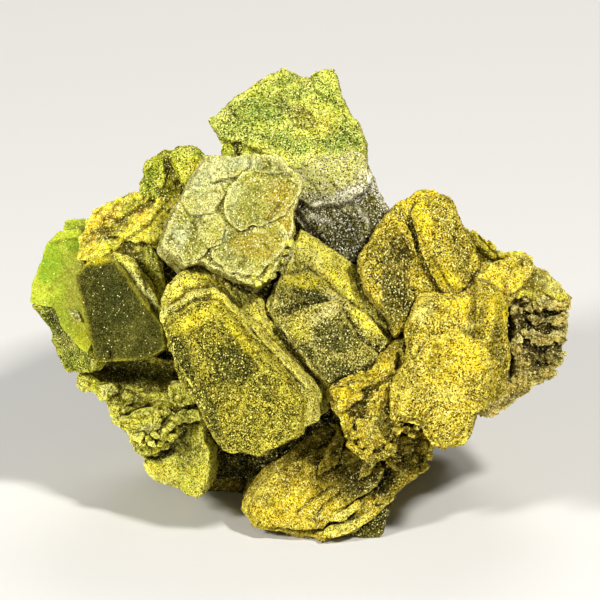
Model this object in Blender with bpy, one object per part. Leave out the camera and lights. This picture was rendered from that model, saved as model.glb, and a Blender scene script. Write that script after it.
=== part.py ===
"""Heulandite specimen: blocky crystals grown through each other, cut flat where it rests.

Every crystal is a prism. Its face is an outline drawn square-on in the crystal's own view (right, up,
out), laid on a plane that leans, and swept back into the cluster with growth ledges on the way. All the
prisms are joined into one solid, because the real specimen grew as one piece. Sizes are millimetres.
"""
import math
import random
from dataclasses import dataclass

import bmesh
import bpy
from mathutils import Matrix, Vector

MM = 0.001
SPECIMEN_NAME = "crystal_cluster"
LEAN_BACK_DEG = 20.0        # the show side looks this far upwards when the specimen rests
RISE = 22.9                 # height of the show side's middle above the surface it rests on
HEART_CENTRE = (-1.0, -3.5, -6.5)
HEART_RADII = (17.0, 16.0, 11.0)
FLOOR_CUT = (120.0, 120.0, 30.0)
HABIT_SEED = 41

# growth ledges: how far along the sweep, and how wide the crystal is there
SHARP_BLOCK = ((0.04, 1.015), (0.3, 1.02), (0.34, 0.985), (0.66, 0.99), (0.72, 0.95), (1.0, 0.9))
LAYERED_BLOCK = ((0.05, 1.02), (0.2, 1.02), (0.22, 0.985), (0.42, 1.0), (0.46, 1.035), (1.0, 0.95))
PLAIN_BLOCK = ((0.08, 1.02), (1.0, 0.94))
THIN_PLATE = ((0.12, 1.012), (1.0, 1.0))
HIDDEN_BLOCK = ((0.05, 1.02), (0.3, 1.03), (0.36, 0.97), (1.0, 0.92))


@dataclass(frozen=True)
class Prism:
    """One crystal or growth plate: an outline on a leaning plane, swept back.

    depth is how far out the plane is over the outline's middle, slope is its rise per millimetre to the
    right and upwards, and sweep is the way from the face to the far end.
    """

    outline: tuple
    depth: float
    slope: tuple = (0.0, 0.0)
    sweep: tuple = (0.0, 0.0, -12.0)
    ledges: tuple = SHARP_BLOCK


# ---------------------------------------------------------------- crystals of the show side
TOP_FACE = (
    (-10.0, 20.1), (-8.4, 21.4), (-7.7, 22.3), (-5.3, 23.8), (-3.8, 25.0), (-1.8, 25.9), (-0.1, 25.0),
    (1.0, 24.8), (1.7, 25.6), (3.7, 25.7), (4.3, 23.0), (5.7, 20.4), (6.3, 20.0), (7.0, 17.8),
    (7.1, 16.0), (1.4, 14.9), (-1.3, 14.4), (-2.2, 15.8), (-6.8, 17.6), (-8.8, 18.2),
)
TOP_FRONT = (
    (-1.3, 14.8), (1.4, 15.4), (7.0, 16.4), (7.9, 14.1), (9.9, 10.1), (9.6, 9.1), (6.4, 3.2), (1.4, 6.4),
    (-1.0, 10.0),
)
TOP_FOOT_BLOCK = ((-9.2, 15.2), (-8.4, 17.6), (-6.6, 17.7), (-3.4, 16.2), (-3.2, 14.8), (-6.0, 14.0))
SCALY_FACE = (
    (-10.4, 15.9), (-4.9, 16.0), (-2.2, 15.8), (-1.3, 14.6), (0.1, 13.6), (0.1, 11.7), (-0.7, 10.0),
    (-0.7, 8.0), (-1.2, 6.7), (-2.3, 4.1), (-3.3, 2.8), (-4.6, 1.7), (-7.8, 2.8), (-10.9, 4.3),
    (-12.7, 3.6), (-15.0, 6.2), (-14.9, 7.4), (-14.2, 9.3), (-12.7, 11.6),
)
SCALE_RIGHT = (
    (-7.0, 13.0), (-8.4, 10.3), (-7.8, 8.6), (-6.6, 7.7), (-4.2, 8.2), (-1.7, 9.4), (-0.2, 11.7),
    (-0.7, 13.0), (-4.2, 13.6),
)
SCALE_LOW = (
    (-9.3, 8.4), (-9.8, 4.9), (-7.8, 3.0), (-4.6, 3.4), (-2.3, 5.4), (-1.5, 7.4), (-4.2, 7.9), (-6.7, 7.6),
)
SCALE_LEFT = ((-14.6, 6.4), (-12.6, 4.2), (-10.4, 5.0), (-9.8, 8.4), (-11.2, 11.0), (-12.8, 10.6), (-14.2, 8.6))
SCALY_CRUMBS = (
    ((-5.8, 3.6), (-3.2, 3.9), (-2.7, 2.2), (-4.0, 0.9), (-5.6, 1.6)),
    ((-3.4, 5.6), (-1.2, 6.2), (-1.0, 4.6), (-2.0, 3.0), (-3.2, 3.6)),
)
LEFT_FRONT = (
    (-24.9, 2.6), (-23.0, 4.9), (-20.6, 4.5), (-19.6, 3.2), (-17.6, 0.4), (-15.2, -3.0), (-14.9, -5.3),
    (-16.8, -6.6), (-20.6, -6.8), (-22.6, -6.9), (-23.3, -3.9), (-24.3, 0.4),
)
LEFT_CRUST = (
    (-24.5, 4.4), (-24.3, 7.0), (-23.0, 10.1), (-21.0, 11.2), (-18.7, 12.2), (-17.2, 11.6), (-14.6, 13.9),
    (-13.4, 13.2), (-13.2, 11.4), (-14.7, 8.0), (-16.3, 6.6), (-20.2, 6.2), (-22.7, 4.3),
)
LEFT_RIDGE = (
    (-20.7, 5.2), (-18.8, 4.7), (-16.8, 1.8), (-15.1, -0.8), (-14.7, -3.4), (-15.2, -3.6), (-17.8, 0.4),
    (-20.5, 4.0),
)
LEFT_RECESS = ((-20.0, 6.4), (-17.2, 7.0), (-15.6, 4.8), (-15.2, 1.8), (-15.2, -1.6), (-18.6, 2.0))
FAR_LEFT_FACE = (
    (-30.0, -0.3), (-29.7, 1.8), (-29.1, 3.4), (-28.2, 6.2), (-26.9, 7.6), (-24.4, 8.0), (-23.2, 5.4),
    (-23.0, 1.0), (-22.9, -4.6), (-23.6, -6.0), (-26.4, -3.1), (-27.3, -0.9),
)
FAR_LEFT_BEVEL = (
    (-29.8, -0.5), (-27.2, -0.5), (-26.2, -2.7), (-23.4, -5.2), (-22.6, -6.9), (-23.1, -8.0), (-25.0, -8.2),
    (-26.0, -7.7), (-26.7, -6.6), (-28.4, -2.3), (-29.4, -1.2),
)
FAR_LEFT_NUB = ((-26.4, 6.2), (-26.3, 8.9), (-23.4, 9.1), (-22.4, 6.2))
BACK_LUMP = (
    (-17.4, 10.6), (-17.8, 12.4), (-17.7, 13.2), (-17.1, 13.8), (-17.1, 15.1), (-15.2, 17.0),
    (-13.4, 17.0), (-12.2, 14.6), (-11.8, 10.6), (-14.4, 9.6),
)
BACK_LUMP_CREST = ((-14.6, 16.2), (-13.9, 17.3), (-12.0, 17.4), (-10.2, 15.9), (-9.6, 13.0), (-12.6, 12.6))
FRONT_BODY = (
    (-15.4, -0.2), (-14.7, 1.3), (-12.7, 3.0), (-10.8, 4.3), (-8.1, 2.1), (-4.6, -0.6), (-3.8, -2.1),
    (-1.2, -5.2), (2.2, -9.1), (2.2, -9.9), (1.7, -11.3), (1.9, -12.6), (1.6, -13.4), (0.0, -14.1),
    (-4.0, -15.4), (-9.0, -14.6), (-13.0, -8.0), (-14.8, -3.6),
)
FRONT_MIDDLE = (
    (-15.3, -1.6), (-12.3, 0.9), (-9.3, 1.2), (-6.7, -1.6), (-3.6, -4.8), (0.6, -9.2), (1.3, -10.7),
    (0.9, -12.2), (0.9, -13.6), (-1.0, -14.7), (-4.0, -16.0), (-9.2, -15.2), (-13.1, -8.4), (-14.6, -4.6),
)
FRONT_PLATE = (
    (-15.1, -2.4), (-11.6, -0.2), (-9.0, -0.1), (-5.7, -4.4), (-3.3, -6.8), (0.0, -10.6), (0.3, -11.9),
    (0.1, -13.3), (0.0, -14.8), (-3.6, -16.4), (-4.6, -17.3), (-6.1, -16.8), (-7.8, -16.9), (-9.2, -15.8),
    (-10.4, -13.4), (-11.6, -11.4), (-13.2, -8.7), (-14.3, -5.7),
)
CENTRE_BODY = (
    (0.1, 7.7), (0.9, 7.3), (6.2, 3.3), (7.3, 1.2), (9.2, -0.6), (10.1, -4.4), (8.8, -6.0), (8.1, -7.6),
    (4.7, -8.8), (3.1, -9.6), (1.1, -7.8), (-1.2, -5.2), (-2.8, -2.4), (-4.0, -0.7), (-4.2, 0.3),
    (-2.2, 3.0),
)
CENTRE_MIDDLE = (
    (-2.0, 2.6), (0.9, 3.0), (4.2, 0.6), (7.4, -1.8), (9.9, -4.5), (8.8, -6.0), (8.1, -7.5), (3.1, -9.4),
    (-1.0, -5.2), (-3.6, -0.9),
)
CENTRE_PLATE = (
    (-2.6, -2.4), (0.9, -0.7), (4.1, -0.2), (6.2, -3.9), (8.6, -6.0), (8.0, -7.4), (4.7, -8.7),
    (3.1, -9.4), (1.1, -7.6),
)
RIGHT_BODY = (
    (6.7, 3.6), (6.7, 4.9), (8.0, 7.0), (8.9, 8.7), (10.2, 9.9), (10.7, 10.7), (12.1, 11.3), (13.3, 12.1),
    (14.4, 12.2), (15.3, 11.7), (16.2, 11.6), (17.0, 10.9), (17.6, 9.4), (18.3, 8.0), (19.1, 6.7),
    (19.7, 5.1), (19.7, 3.9), (18.9, 2.0), (17.3, 0.0), (13.0, -1.0), (10.6, -4.0), (9.2, -1.2),
    (7.3, 1.2),
)
RIGHT_PLATE = (
    (12.5, 8.2), (13.2, 5.7), (14.4, 3.2), (15.4, 1.2), (17.2, 0.2), (18.8, 2.2), (19.5, 4.4), (18.9, 6.6),
    (17.4, 9.4), (16.8, 10.7), (15.3, 11.5), (13.3, 11.3), (12.4, 10.2),
)
RIGHT_LEFT_PLATE = (
    (8.8, 6.9), (11.1, 8.7), (12.1, 8.0), (12.7, 5.6), (13.8, 3.0), (14.7, 1.0), (12.8, -0.6), (10.4, -3.6),
    (9.2, -1.0), (7.5, 1.2), (6.9, 3.4),
)
RIGHT_LOW_PLATE = (
    (7.0, 3.0), (8.0, 4.7), (9.6, 4.7), (11.2, 3.3), (12.6, 0.4), (11.9, -1.6), (10.2, -3.4), (9.2, -0.8),
    (7.6, 1.2),
)
GOLDEN_FACE = (
    (11.7, -3.3), (12.7, -0.9), (13.2, 0.0), (14.8, 0.2), (16.7, -0.2), (18.3, 0.3), (19.7, 1.6),
    (21.4, 0.4), (21.1, -3.4), (21.0, -7.3), (21.2, -10.0), (20.6, -12.1), (19.2, -12.7), (18.6, -14.9),
    (17.9, -15.9), (16.1, -16.1), (14.7, -16.0), (13.2, -14.0), (10.0, -13.0), (9.9, -10.7), (10.4, -8.8),
    (11.7, -6.8),
)
GOLDEN_PLATE = (
    (12.4, -6.6), (14.4, -4.2), (17.6, -3.8), (20.4, -4.6), (20.6, -9.8), (20.2, -11.8), (18.8, -12.6),
    (18.3, -14.8), (16.2, -15.8), (14.8, -15.4), (13.5, -13.2), (10.6, -12.4), (10.6, -9.6),
)
GOLDEN_SIDE = (
    (19.6, 2.0), (21.4, 1.4), (22.9, -0.6), (22.8, -4.0), (23.1, -6.3), (22.7, -10.3), (20.8, -12.0),
    (19.4, -11.6), (19.4, -3.0),
)
GOLDEN_SHOULDER = (
    (15.0, 0.0), (17.4, 0.4), (19.0, 2.2), (19.8, 4.1), (21.8, 4.1), (24.9, 5.3), (26.0, 3.4), (24.2, 1.4),
    (22.6, -0.8), (20.0, -2.0),
)
SMALL_BLOCK = (
    (3.1, -9.8), (4.7, -8.8), (8.1, -7.7), (8.9, -6.3), (11.1, -5.4), (12.2, -6.8), (11.4, -9.4),
    (10.6, -12.0), (10.2, -13.8), (10.8, -15.9), (10.7, -16.9), (9.6, -17.4), (7.4, -18.0), (5.9, -16.7),
    (4.7, -14.1), (3.6, -12.1),
)
SMALL_PLATE = ((6.2, -13.6), (7.4, -10.6), (10.0, -8.6), (11.0, -12.4), (10.0, -15.6), (8.0, -16.6), (6.6, -15.6))
SMALL_LEDGE = ((3.4, -9.9), (5.6, -9.1), (8.3, -8.4), (7.4, -10.2), (5.6, -11.9), (4.2, -12.2))
CRUMBS = (
    ((8.8, -15.4), (9.2, -18.0), (10.4, -18.8), (12.0, -19.2), (12.2, -15.4)),
    ((11.4, -15.2), (11.6, -19.2), (13.0, -19.4), (14.0, -19.0), (14.7, -16.9), (13.9, -14.6)),
)
RIBBED_BLOCK = (
    (21.6, 0.2), (24.4, 1.9), (25.9, 3.6), (27.3, 3.1), (28.9, 1.6), (29.8, 0.3), (30.0, -1.1),
    (29.6, -2.3), (29.7, -3.4), (29.4, -4.9), (29.1, -6.7), (28.2, -8.0), (27.2, -8.9), (25.6, -10.1),
    (24.4, -11.0), (22.8, -12.2), (21.0, -13.2), (19.6, -11.0), (20.4, -4.0),
)
RIB_ENDS = ((24.2, 29.5), (23.6, 29.4), (24.0, 29.2), (24.0, 28.7), (23.8, 27.9))
RIB_HEIGHTS = ((-0.6, -2.1), (-2.6, -4.2), (-4.7, -5.3), (-5.8, -6.9), (-7.4, -8.9))
SADDLE = (
    (17.6, 7.6), (18.6, 8.0), (20.1, 7.4), (21.8, 5.6), (22.8, 4.8), (24.9, 5.5), (26.1, 4.5), (25.9, 3.0),
    (22.0, 2.0), (18.0, 3.0),
)
BOTTOM_BODY = (
    (-6.2, -23.0), (-5.8, -21.8), (-4.2, -20.0), (-1.4, -17.6), (2.9, -13.6), (7.0, -14.6), (11.0, -16.8),
    (12.6, -19.8), (11.0, -21.1), (10.3, -22.1), (8.1, -24.2), (5.2, -25.9), (3.3, -26.2), (2.2, -26.8),
    (1.7, -26.1), (0.3, -26.1), (-2.1, -25.6), (-4.4, -25.3), (-5.4, -24.3),
)
BOTTOM_PLATE = (
    (-5.8, -23.0), (-4.4, -20.4), (-1.4, -18.2), (2.8, -16.4), (6.6, -16.8), (9.6, -18.6), (8.4, -20.6),
    (5.4, -22.4), (2.6, -25.4), (-0.6, -25.4), (-4.2, -24.9),
)
BOTTOM_BLADES = (
    ((1.6, -19.6), (1.9, -16.8), (2.9, -14.9), (3.4, -16.4), (3.2, -19.2)),
    ((3.6, -20.6), (4.0, -18.0), (5.3, -15.4), (5.6, -18.2), (5.0, -20.6)),
)
BOTTOM_LAYERS = (
    ((2.4, -26.2), (5.2, -25.8), (8.8, -23.2), (11.6, -19.8), (9.8, -21.2), (6.4, -23.4), (3.2, -24.9)),
    ((3.6, -24.0), (6.0, -22.8), (8.2, -21.2), (7.6, -22.6), (5.2, -24.3)),
)
BOTTOM_WEDGE = ((3.0, -26.2), (9.0, -26.2), (10.3, -22.3), (8.0, -22.6), (5.4, -25.0))
LOWER_LEFT_SHELF = (
    (-25.0, -8.6), (-24.8, -9.3), (-24.1, -10.1), (-23.0, -10.2), (-21.7, -11.4), (-21.2, -12.6),
    (-19.4, -13.8), (-16.6, -13.0), (-12.4, -11.8), (-11.6, -8.6), (-14.0, -6.6), (-19.0, -6.2),
    (-23.4, -6.8),
)
LOWER_LEFT_KNOB = (
    (-20.9, -13.4), (-19.0, -13.2), (-17.6, -12.6), (-16.2, -11.8), (-14.4, -12.8), (-13.4, -14.2),
    (-13.8, -15.6), (-14.8, -16.6), (-17.2, -17.3), (-18.7, -16.2), (-19.2, -14.9),
)
LOWER_LEFT_TOE = (
    (-17.2, -17.2), (-17.2, -18.7), (-16.0, -19.9), (-13.9, -20.7), (-12.4, -21.6), (-11.1, -21.8),
    (-10.3, -20.4), (-10.0, -18.9), (-10.0, -16.7), (-10.4, -16.1), (-10.8, -13.6), (-12.4, -12.8),
    (-14.4, -14.0), (-15.8, -15.8),
)
LOWER_LEFT_STEP = ((-14.4, -9.4), (-11.6, -9.0), (-11.4, -11.4), (-12.9, -11.8), (-14.6, -11.4))
LOWER_LEFT_LEDGE = ((-14.2, -12.2), (-11.4, -12.2), (-10.9, -13.2), (-12.6, -13.6), (-14.3, -13.3))

SHOW_SIDE = (
    Prism(TOP_FACE, -1.0, (0.10, -0.75), (1.0, -2.2, -13.0)),
    Prism(TOP_FRONT, 3.0, (-0.12, 0.04), (-2.0, -1.0, -15.0)),
    Prism(TOP_FOOT_BLOCK, 1.0, (0.2, -0.3), (1.0, -1.0, -8.0), PLAIN_BLOCK),
    Prism(SCALY_FACE, 11.0, (0.10, -0.30), (-0.8, -1.5, -14.0), LAYERED_BLOCK),
    Prism(SCALE_RIGHT, 11.2, (0.02, -0.24), (-0.1, 0.1, -2.4), THIN_PLATE),
    Prism(SCALE_LOW, 12.0, (0.04, -0.26), (-0.1, 0.3, -2.4), THIN_PLATE),
    Prism(SCALE_LEFT, 11.1, (0.14, -0.22), (0.3, 0.0, -2.0), THIN_PLATE),
    Prism(SCALY_CRUMBS[0], 10.6, (0.0, -0.3), (0.2, 0.2, -5.0), PLAIN_BLOCK),
    Prism(SCALY_CRUMBS[1], 10.3, (0.0, -0.3), (-0.2, 0.2, -5.0), PLAIN_BLOCK),
    Prism(LEFT_FRONT, 7.0, (0.12, 0.14), (3.6, 3.0, -13.0)),
    Prism(LEFT_CRUST, 1.4, (-0.05, -1.05), (2.0, -4.0, -11.0), PLAIN_BLOCK),
    Prism(LEFT_RIDGE, 6.0, (-0.30, 0.05), (1.0, 0.5, -7.0), PLAIN_BLOCK),
    Prism(LEFT_RECESS, 2.4, (-0.10, 0.2), (1.0, 0.0, -8.0), PLAIN_BLOCK),
    Prism(FAR_LEFT_FACE, 2.2, (0.35, -0.30), (4.0, 0.5, -12.0)),
    Prism(FAR_LEFT_BEVEL, 2.0, (1.10, 0.42), (4.0, 2.0, -9.0), PLAIN_BLOCK),
    Prism(FAR_LEFT_NUB, -3.0, (0.0, -0.3), (1.5, -1.0, -6.0), PLAIN_BLOCK),
    Prism(BACK_LUMP, -1.5, (0.35, -0.40), (2.5, -2.5, -12.0)),
    Prism(BACK_LUMP_CREST, -1.2, (-0.25, -0.60), (1.0, -2.5, -10.0), PLAIN_BLOCK),
    Prism(FRONT_BODY, 10.3, (-0.22, -0.22), (2.6, 2.6, -15.0), LAYERED_BLOCK),
    Prism(FRONT_MIDDLE, 11.7, (-0.06, -0.06), (0.8, 0.8, -4.0), THIN_PLATE),
    Prism(FRONT_PLATE, 12.9, (0.05, 0.02), (0.5, 0.5, -3.0), THIN_PLATE),
    Prism(CENTRE_BODY, 6.4, (-0.10, -0.14), (0.0, 0.0, -12.0), LAYERED_BLOCK),
    Prism(CENTRE_MIDDLE, 7.3, (-0.08, -0.06), (0.3, 0.3, -3.0), THIN_PLATE),
    Prism(CENTRE_PLATE, 8.3, (-0.06, 0.02), (0.3, 0.3, -3.0), THIN_PLATE),
    Prism(RIGHT_BODY, 6.0, (-0.10, -0.22), (-1.0, -1.0, -13.0)),
    Prism(RIGHT_PLATE, 6.6, (-0.12, -0.20), (0.0, 0.0, -3.0), THIN_PLATE),
    Prism(RIGHT_LEFT_PLATE, 7.0, (-0.05, -0.12), (0.0, 0.0, -3.0), THIN_PLATE),
    Prism(RIGHT_LOW_PLATE, 8.0, (0.02, -0.04), (0.0, 0.0, -3.0), THIN_PLATE),
    Prism(GOLDEN_FACE, 12.4, (-0.05, -0.16), (0.5, 2.0, -16.0), LAYERED_BLOCK),
    Prism(GOLDEN_PLATE, 13.9, (-0.03, -0.10), (0.2, 0.3, -3.0), THIN_PLATE),
    Prism(GOLDEN_SIDE, 10.6, (-0.75, 0.0), (-0.5, 1.0, -12.0), PLAIN_BLOCK),
    Prism(GOLDEN_SHOULDER, 6.6, (0.05, -0.85), (-1.0, -2.0, -12.0), PLAIN_BLOCK),
    Prism(SMALL_BLOCK, 10.0, (0.10, -0.14), (1.0, 3.0, -12.0)),
    Prism(SMALL_PLATE, 11.2, (0.06, -0.08), (0.2, 0.5, -3.0), THIN_PLATE),
    Prism(SMALL_LEDGE, 10.4, (0.05, -0.30), (0.2, 0.0, -2.0), THIN_PLATE),
    Prism(CRUMBS[0], 8.0, (0.1, -0.1), (0.0, 2.0, -6.0), PLAIN_BLOCK),
    Prism(CRUMBS[1], 7.2, (-0.1, -0.2), (0.0, 3.0, -6.0), PLAIN_BLOCK),
    Prism(RIBBED_BLOCK, 1.6, (-0.35, -0.12), (-4.0, 1.0, -12.0)),
    Prism(SADDLE, 0.6, (0.0, -0.45), (-1.0, -2.0, -9.0), PLAIN_BLOCK),
    Prism(BOTTOM_BODY, 5.0, (0.02, -0.42), (0.0, 2.0, -15.0), LAYERED_BLOCK),
    Prism(BOTTOM_PLATE, 5.9, (0.06, -0.38), (0.0, 0.5, -3.0), THIN_PLATE),
    Prism(BOTTOM_BLADES[0], 5.8, (0.35, -0.3), (0.0, 0.5, -4.0), PLAIN_BLOCK),
    Prism(BOTTOM_BLADES[1], 5.6, (0.35, -0.3), (0.0, 0.5, -4.0), PLAIN_BLOCK),
    Prism(BOTTOM_LAYERS[0], 6.9, (0.0, -0.45), (0.0, 0.6, -3.0), THIN_PLATE),
    Prism(BOTTOM_LAYERS[1], 7.2, (0.0, -0.45), (0.0, 0.6, -3.0), THIN_PLATE),
    Prism(BOTTOM_WEDGE, 5.4, (0.0, 0.0), (0.0, 1.0, -8.0), PLAIN_BLOCK),
    Prism(LOWER_LEFT_SHELF, 0.6, (0.15, -0.30), (2.0, 1.0, -12.0)),
    Prism(LOWER_LEFT_KNOB, 4.2, (0.20, -0.18), (1.5, 1.0, -9.0), LAYERED_BLOCK),
    Prism(LOWER_LEFT_TOE, 3.8, (0.05, -0.12), (1.0, 1.0, -12.0), LAYERED_BLOCK),
    Prism(LOWER_LEFT_STEP, 3.6, (0.0, -0.3), (0.5, 0.5, -6.0), PLAIN_BLOCK),
    Prism(LOWER_LEFT_LEDGE, 4.4, (0.0, -0.3), (0.2, 0.5, -6.0), PLAIN_BLOCK),
)

# the foot, drawn from above: its outline is in right and back, and it is swept down through the surface
FOOT_OUTLINE = (
    (-11.4, 4.6), (-7.0, 1.4), (-5.0, -4.0), (3.0, -6.0), (8.0, 1.8), (10.4, 8.2), (11.0, 13.4),
    (8.0, 16.8), (1.0, 18.2), (-7.0, 17.6), (-11.4, 14.6), (-12.6, 9.4),
)
FOOT = Prism(FOOT_OUTLINE, 13.0, (0.0, 0.0), (0.0, 0.0, -15.0), ((0.5, 1.02), (0.55, 0.99), (1.0, 1.0)))

# coffin-shaped habit of the crystals on the sides and back, for a crystal one unit wide and high
HABIT = (
    (-0.40, -0.50), (0.28, -0.50), (0.50, -0.22), (0.47, 0.36), (0.12, 0.50), (-0.42, 0.42), (-0.50, -0.14),
)
HABIT_JITTER = 0.035
HABIT_PLATES = ((0.72, 1.0), (0.44, 1.8))   # size beside the crystal, and height over its face
PLATE_SHIFT = 0.15


@dataclass(frozen=True)
class Block:
    """A crystal of the hidden sides: where its face's middle is, which way it looks, and its size."""

    middle: tuple
    azimuth: float
    elevation: float
    roll: float
    width: float
    height: float
    thickness: float


HIDDEN_SIDES = (
    Block((-2.0, 19.5, 26.0), 180.0, 22.0, 10.0, 19.0, 15.0, 14.0),
    Block((12.6, 16.5, 20.5), 142.0, 8.0, -18.0, 16.0, 14.0, 13.0),
    Block((-14.6, 15.0, 22.0), 218.0, 12.0, 16.0, 16.0, 15.0, 13.0),
    Block((0.5, 21.6, 11.5), 176.0, -6.0, -9.0, 17.0, 13.0, 12.0),
    Block((20.6, 7.0, 17.5), 98.0, -4.0, 14.0, 15.0, 14.0, 12.0),
    Block((-20.4, 9.0, 19.0), 262.0, 4.0, -12.0, 15.0, 14.0, 11.0),
    Block((0.0, 10.5, 34.5), 186.0, 58.0, 8.0, 13.0, 11.0, 12.0),
    Block((13.6, 14.0, 8.5), 134.0, -10.0, 8.0, 12.0, 11.0, 10.0),
    Block((-13.4, 14.0, 8.8), 228.0, -8.0, -10.0, 12.0, 11.0, 10.0),
    Block((9.4, 9.0, 27.4), 140.0, 48.0, 24.0, 11.0, 10.0, 10.0),
    Block((-12.6, 10.0, 30.0), 206.0, 50.0, -20.0, 12.0, 11.0, 10.0),
    Block((-8.0, 1.6, 4.6), -12.0, 2.0, 4.0, 9.5, 11.0, 9.0),
    Block((9.4, 5.4, 6.0), 52.0, -4.0, -8.0, 11.0, 11.0, 9.0),
    Block((-6.2, 19.4, 4.6), 194.0, -4.0, 7.0, 12.0, 11.0, 9.0),
    Block((7.4, 18.4, 5.4), 158.0, -6.0, -12.0, 12.0, 11.0, 9.0),
    Block((-13.2, 8.4, 5.6), 262.0, -2.0, 10.0, 10.0, 11.0, 8.0),
)


def view_frame(origin, azimuth, elevation, roll=0.0):
    """Matrix from a crystal's view (right, up, out) to the world, for the way its face looks."""
    turn = math.radians(azimuth)
    tilt = math.radians(elevation)
    out = Vector((math.sin(turn) * math.cos(tilt), -math.cos(turn) * math.cos(tilt), math.sin(tilt)))
    right = Vector((math.cos(turn), math.sin(turn), 0.0))
    up = out.cross(right)
    axes = Matrix((right, up, out)).transposed().to_4x4()
    return Matrix.Translation(Vector(origin) * MM) @ axes @ Matrix.Rotation(math.radians(roll), 4, "Z")


def prism_mesh(prism, name):
    """Lay the outline on its plane, extrude it ledge by ledge along the sweep, and close it."""
    middle_right = sum(p[0] for p in prism.outline) / len(prism.outline)
    middle_up = sum(p[1] for p in prism.outline) / len(prism.outline)
    middle = Vector((middle_right, middle_up, prism.depth)) * MM
    bm = bmesh.new()
    corners = []
    for right, up in prism.outline:
        out = prism.depth + prism.slope[0] * (right - middle_right) + prism.slope[1] * (up - middle_up)
        corners.append(bm.verts.new(Vector((right, up, out)) * MM))
    end = bm.faces.new(corners)
    face_points = [(v.co - middle).copy() for v in end.verts]
    sweep = Vector(prism.sweep) * MM
    ring = list(end.edges)
    bmesh.ops.delete(bm, geom=[end], context="FACES_ONLY")
    for along, width in prism.ledges:
        grown = bmesh.ops.extrude_edge_only(bm, edges=ring)
        ring = [item for item in grown["geom"] if isinstance(item, bmesh.types.BMEdge)]
        far = [item for item in grown["geom"] if isinstance(item, bmesh.types.BMVert)]
        for corner, start in zip(far, face_points):
            corner.co = middle + start * width + sweep * along
    bmesh.ops.holes_fill(bm, edges=bm.edges)
    bmesh.ops.recalc_face_normals(bm, faces=bm.faces)
    if bm.calc_volume(signed=True) < 0.0:
        bmesh.ops.reverse_faces(bm, faces=bm.faces)
    mesh = bpy.data.meshes.new(name)
    bm.to_mesh(mesh)
    bm.free()
    return mesh


def add_prism(prism, frame, name, collection):
    """Put one prism in the scene as a helper that the specimen is joined from."""
    crystal = bpy.data.objects.new(name, prism_mesh(prism, name))
    crystal.matrix_world = frame
    crystal.hide_render = True
    crystal.display_type = "WIRE"
    collection.objects.link(crystal)
    return crystal


def scaled_habit(width, height, scale, shift, chance):
    """The coffin outline at a crystal's size, with each corner moved a little."""
    corners = []
    for right, up in HABIT:
        right += chance.uniform(-HABIT_JITTER, HABIT_JITTER)
        up += chance.uniform(-HABIT_JITTER, HABIT_JITTER)
        corners.append(((right * scale + shift[0]) * width, (up * scale + shift[1]) * height))
    return tuple(corners)


def add_hidden_crystals(collection):
    """Crystals of the sides and back, each with two growth plates stepped up on its face."""
    chance = random.Random(HABIT_SEED)
    for index, block in enumerate(HIDDEN_SIDES):
        frame = view_frame(block.middle, block.azimuth, block.elevation, block.roll)
        body = scaled_habit(block.width, block.height, 1.0, (0.0, 0.0), chance)
        sweep = (chance.uniform(-1.0, 1.0), chance.uniform(-1.0, 1.0), -block.thickness)
        add_prism(Prism(body, 0.0, (0.0, 0.0), sweep, HIDDEN_BLOCK), frame, f"hidden_{index}", collection)
        for level, (scale, rise) in enumerate(HABIT_PLATES):
            shift = (chance.uniform(-PLATE_SHIFT, PLATE_SHIFT), chance.uniform(-PLATE_SHIFT, PLATE_SHIFT))
            outline = scaled_habit(block.width, block.height, scale, shift, chance)
            plate = Prism(outline, rise, (0.03, -0.03), (0.1, 0.1, -rise - 1.2), THIN_PLATE)
            add_prism(plate, frame, f"hidden_{index}_plate_{level}", collection)


def add_ribs(frame, collection):
    """The far right block's broken edge: level ribs with grooves between them."""
    for index, ((left, right), (top, bottom)) in enumerate(zip(RIB_ENDS, RIB_HEIGHTS)):
        outline = (
            (left, top - 0.2), ((left + right) / 2.0, top), (right, top - 0.1), (right + 0.1, bottom + 0.3),
            ((left + right) / 2.0, bottom), (left + 0.2, bottom + 0.2),
        )
        rib = Prism(outline, 2.0, (-0.35, -0.10), (-0.4, 0.2, -3.0), ((0.15, 1.03), (1.0, 1.0)))
        add_prism(rib, frame, f"rib_{index}", collection)


def add_heart(frame, material, collection):
    """The lump in the middle that the crystals grow out of; it carries the joining modifiers."""
    bm = bmesh.new()
    stretch = frame @ Matrix.Translation(Vector(HEART_CENTRE) * MM) @ Matrix.Diagonal((*HEART_RADII, 1.0))
    bmesh.ops.create_icosphere(bm, subdivisions=2, radius=MM)
    bm.transform(stretch)
    mesh = bpy.data.meshes.new(SPECIMEN_NAME)
    bm.to_mesh(mesh)
    bm.free()
    heart = bpy.data.objects.new(SPECIMEN_NAME, mesh)
    heart.data.materials.append(material)
    collection.objects.link(heart)
    return heart


def floor_cutter(collection):
    """Everything below the resting surface, to be cut away."""
    bm = bmesh.new()
    bmesh.ops.create_cube(bm, size=1.0)
    bmesh.ops.scale(bm, vec=Vector(FLOOR_CUT) * MM, verts=bm.verts)
    mesh = bpy.data.meshes.new("floor_cutter")
    bm.to_mesh(mesh)
    bm.free()
    cutter = bpy.data.objects.new("floor_cutter", mesh)
    cutter.location = (0.0, 0.0, -FLOOR_CUT[2] * MM / 2.0)
    cutter.hide_render = True
    cutter.display_type = "WIRE"
    collection.objects.link(cutter)
    return cutter


def heulandite_material():
    """Greenish yellow stone with a dull, sugary surface."""
    material = bpy.data.materials.new("heulandite")
    material.use_nodes = True
    shader = material.node_tree.nodes["Principled BSDF"]
    shader.inputs["Base Color"].default_value = (0.36, 0.34, 0.06, 1.0)
    shader.inputs["Roughness"].default_value = 0.55
    shader.inputs["Metallic"].default_value = 0.0
    return material


def new_collection(name):
    """A collection linked to the scene."""
    collection = bpy.data.collections.new(name)
    bpy.context.scene.collection.children.link(collection)
    return collection


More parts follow.
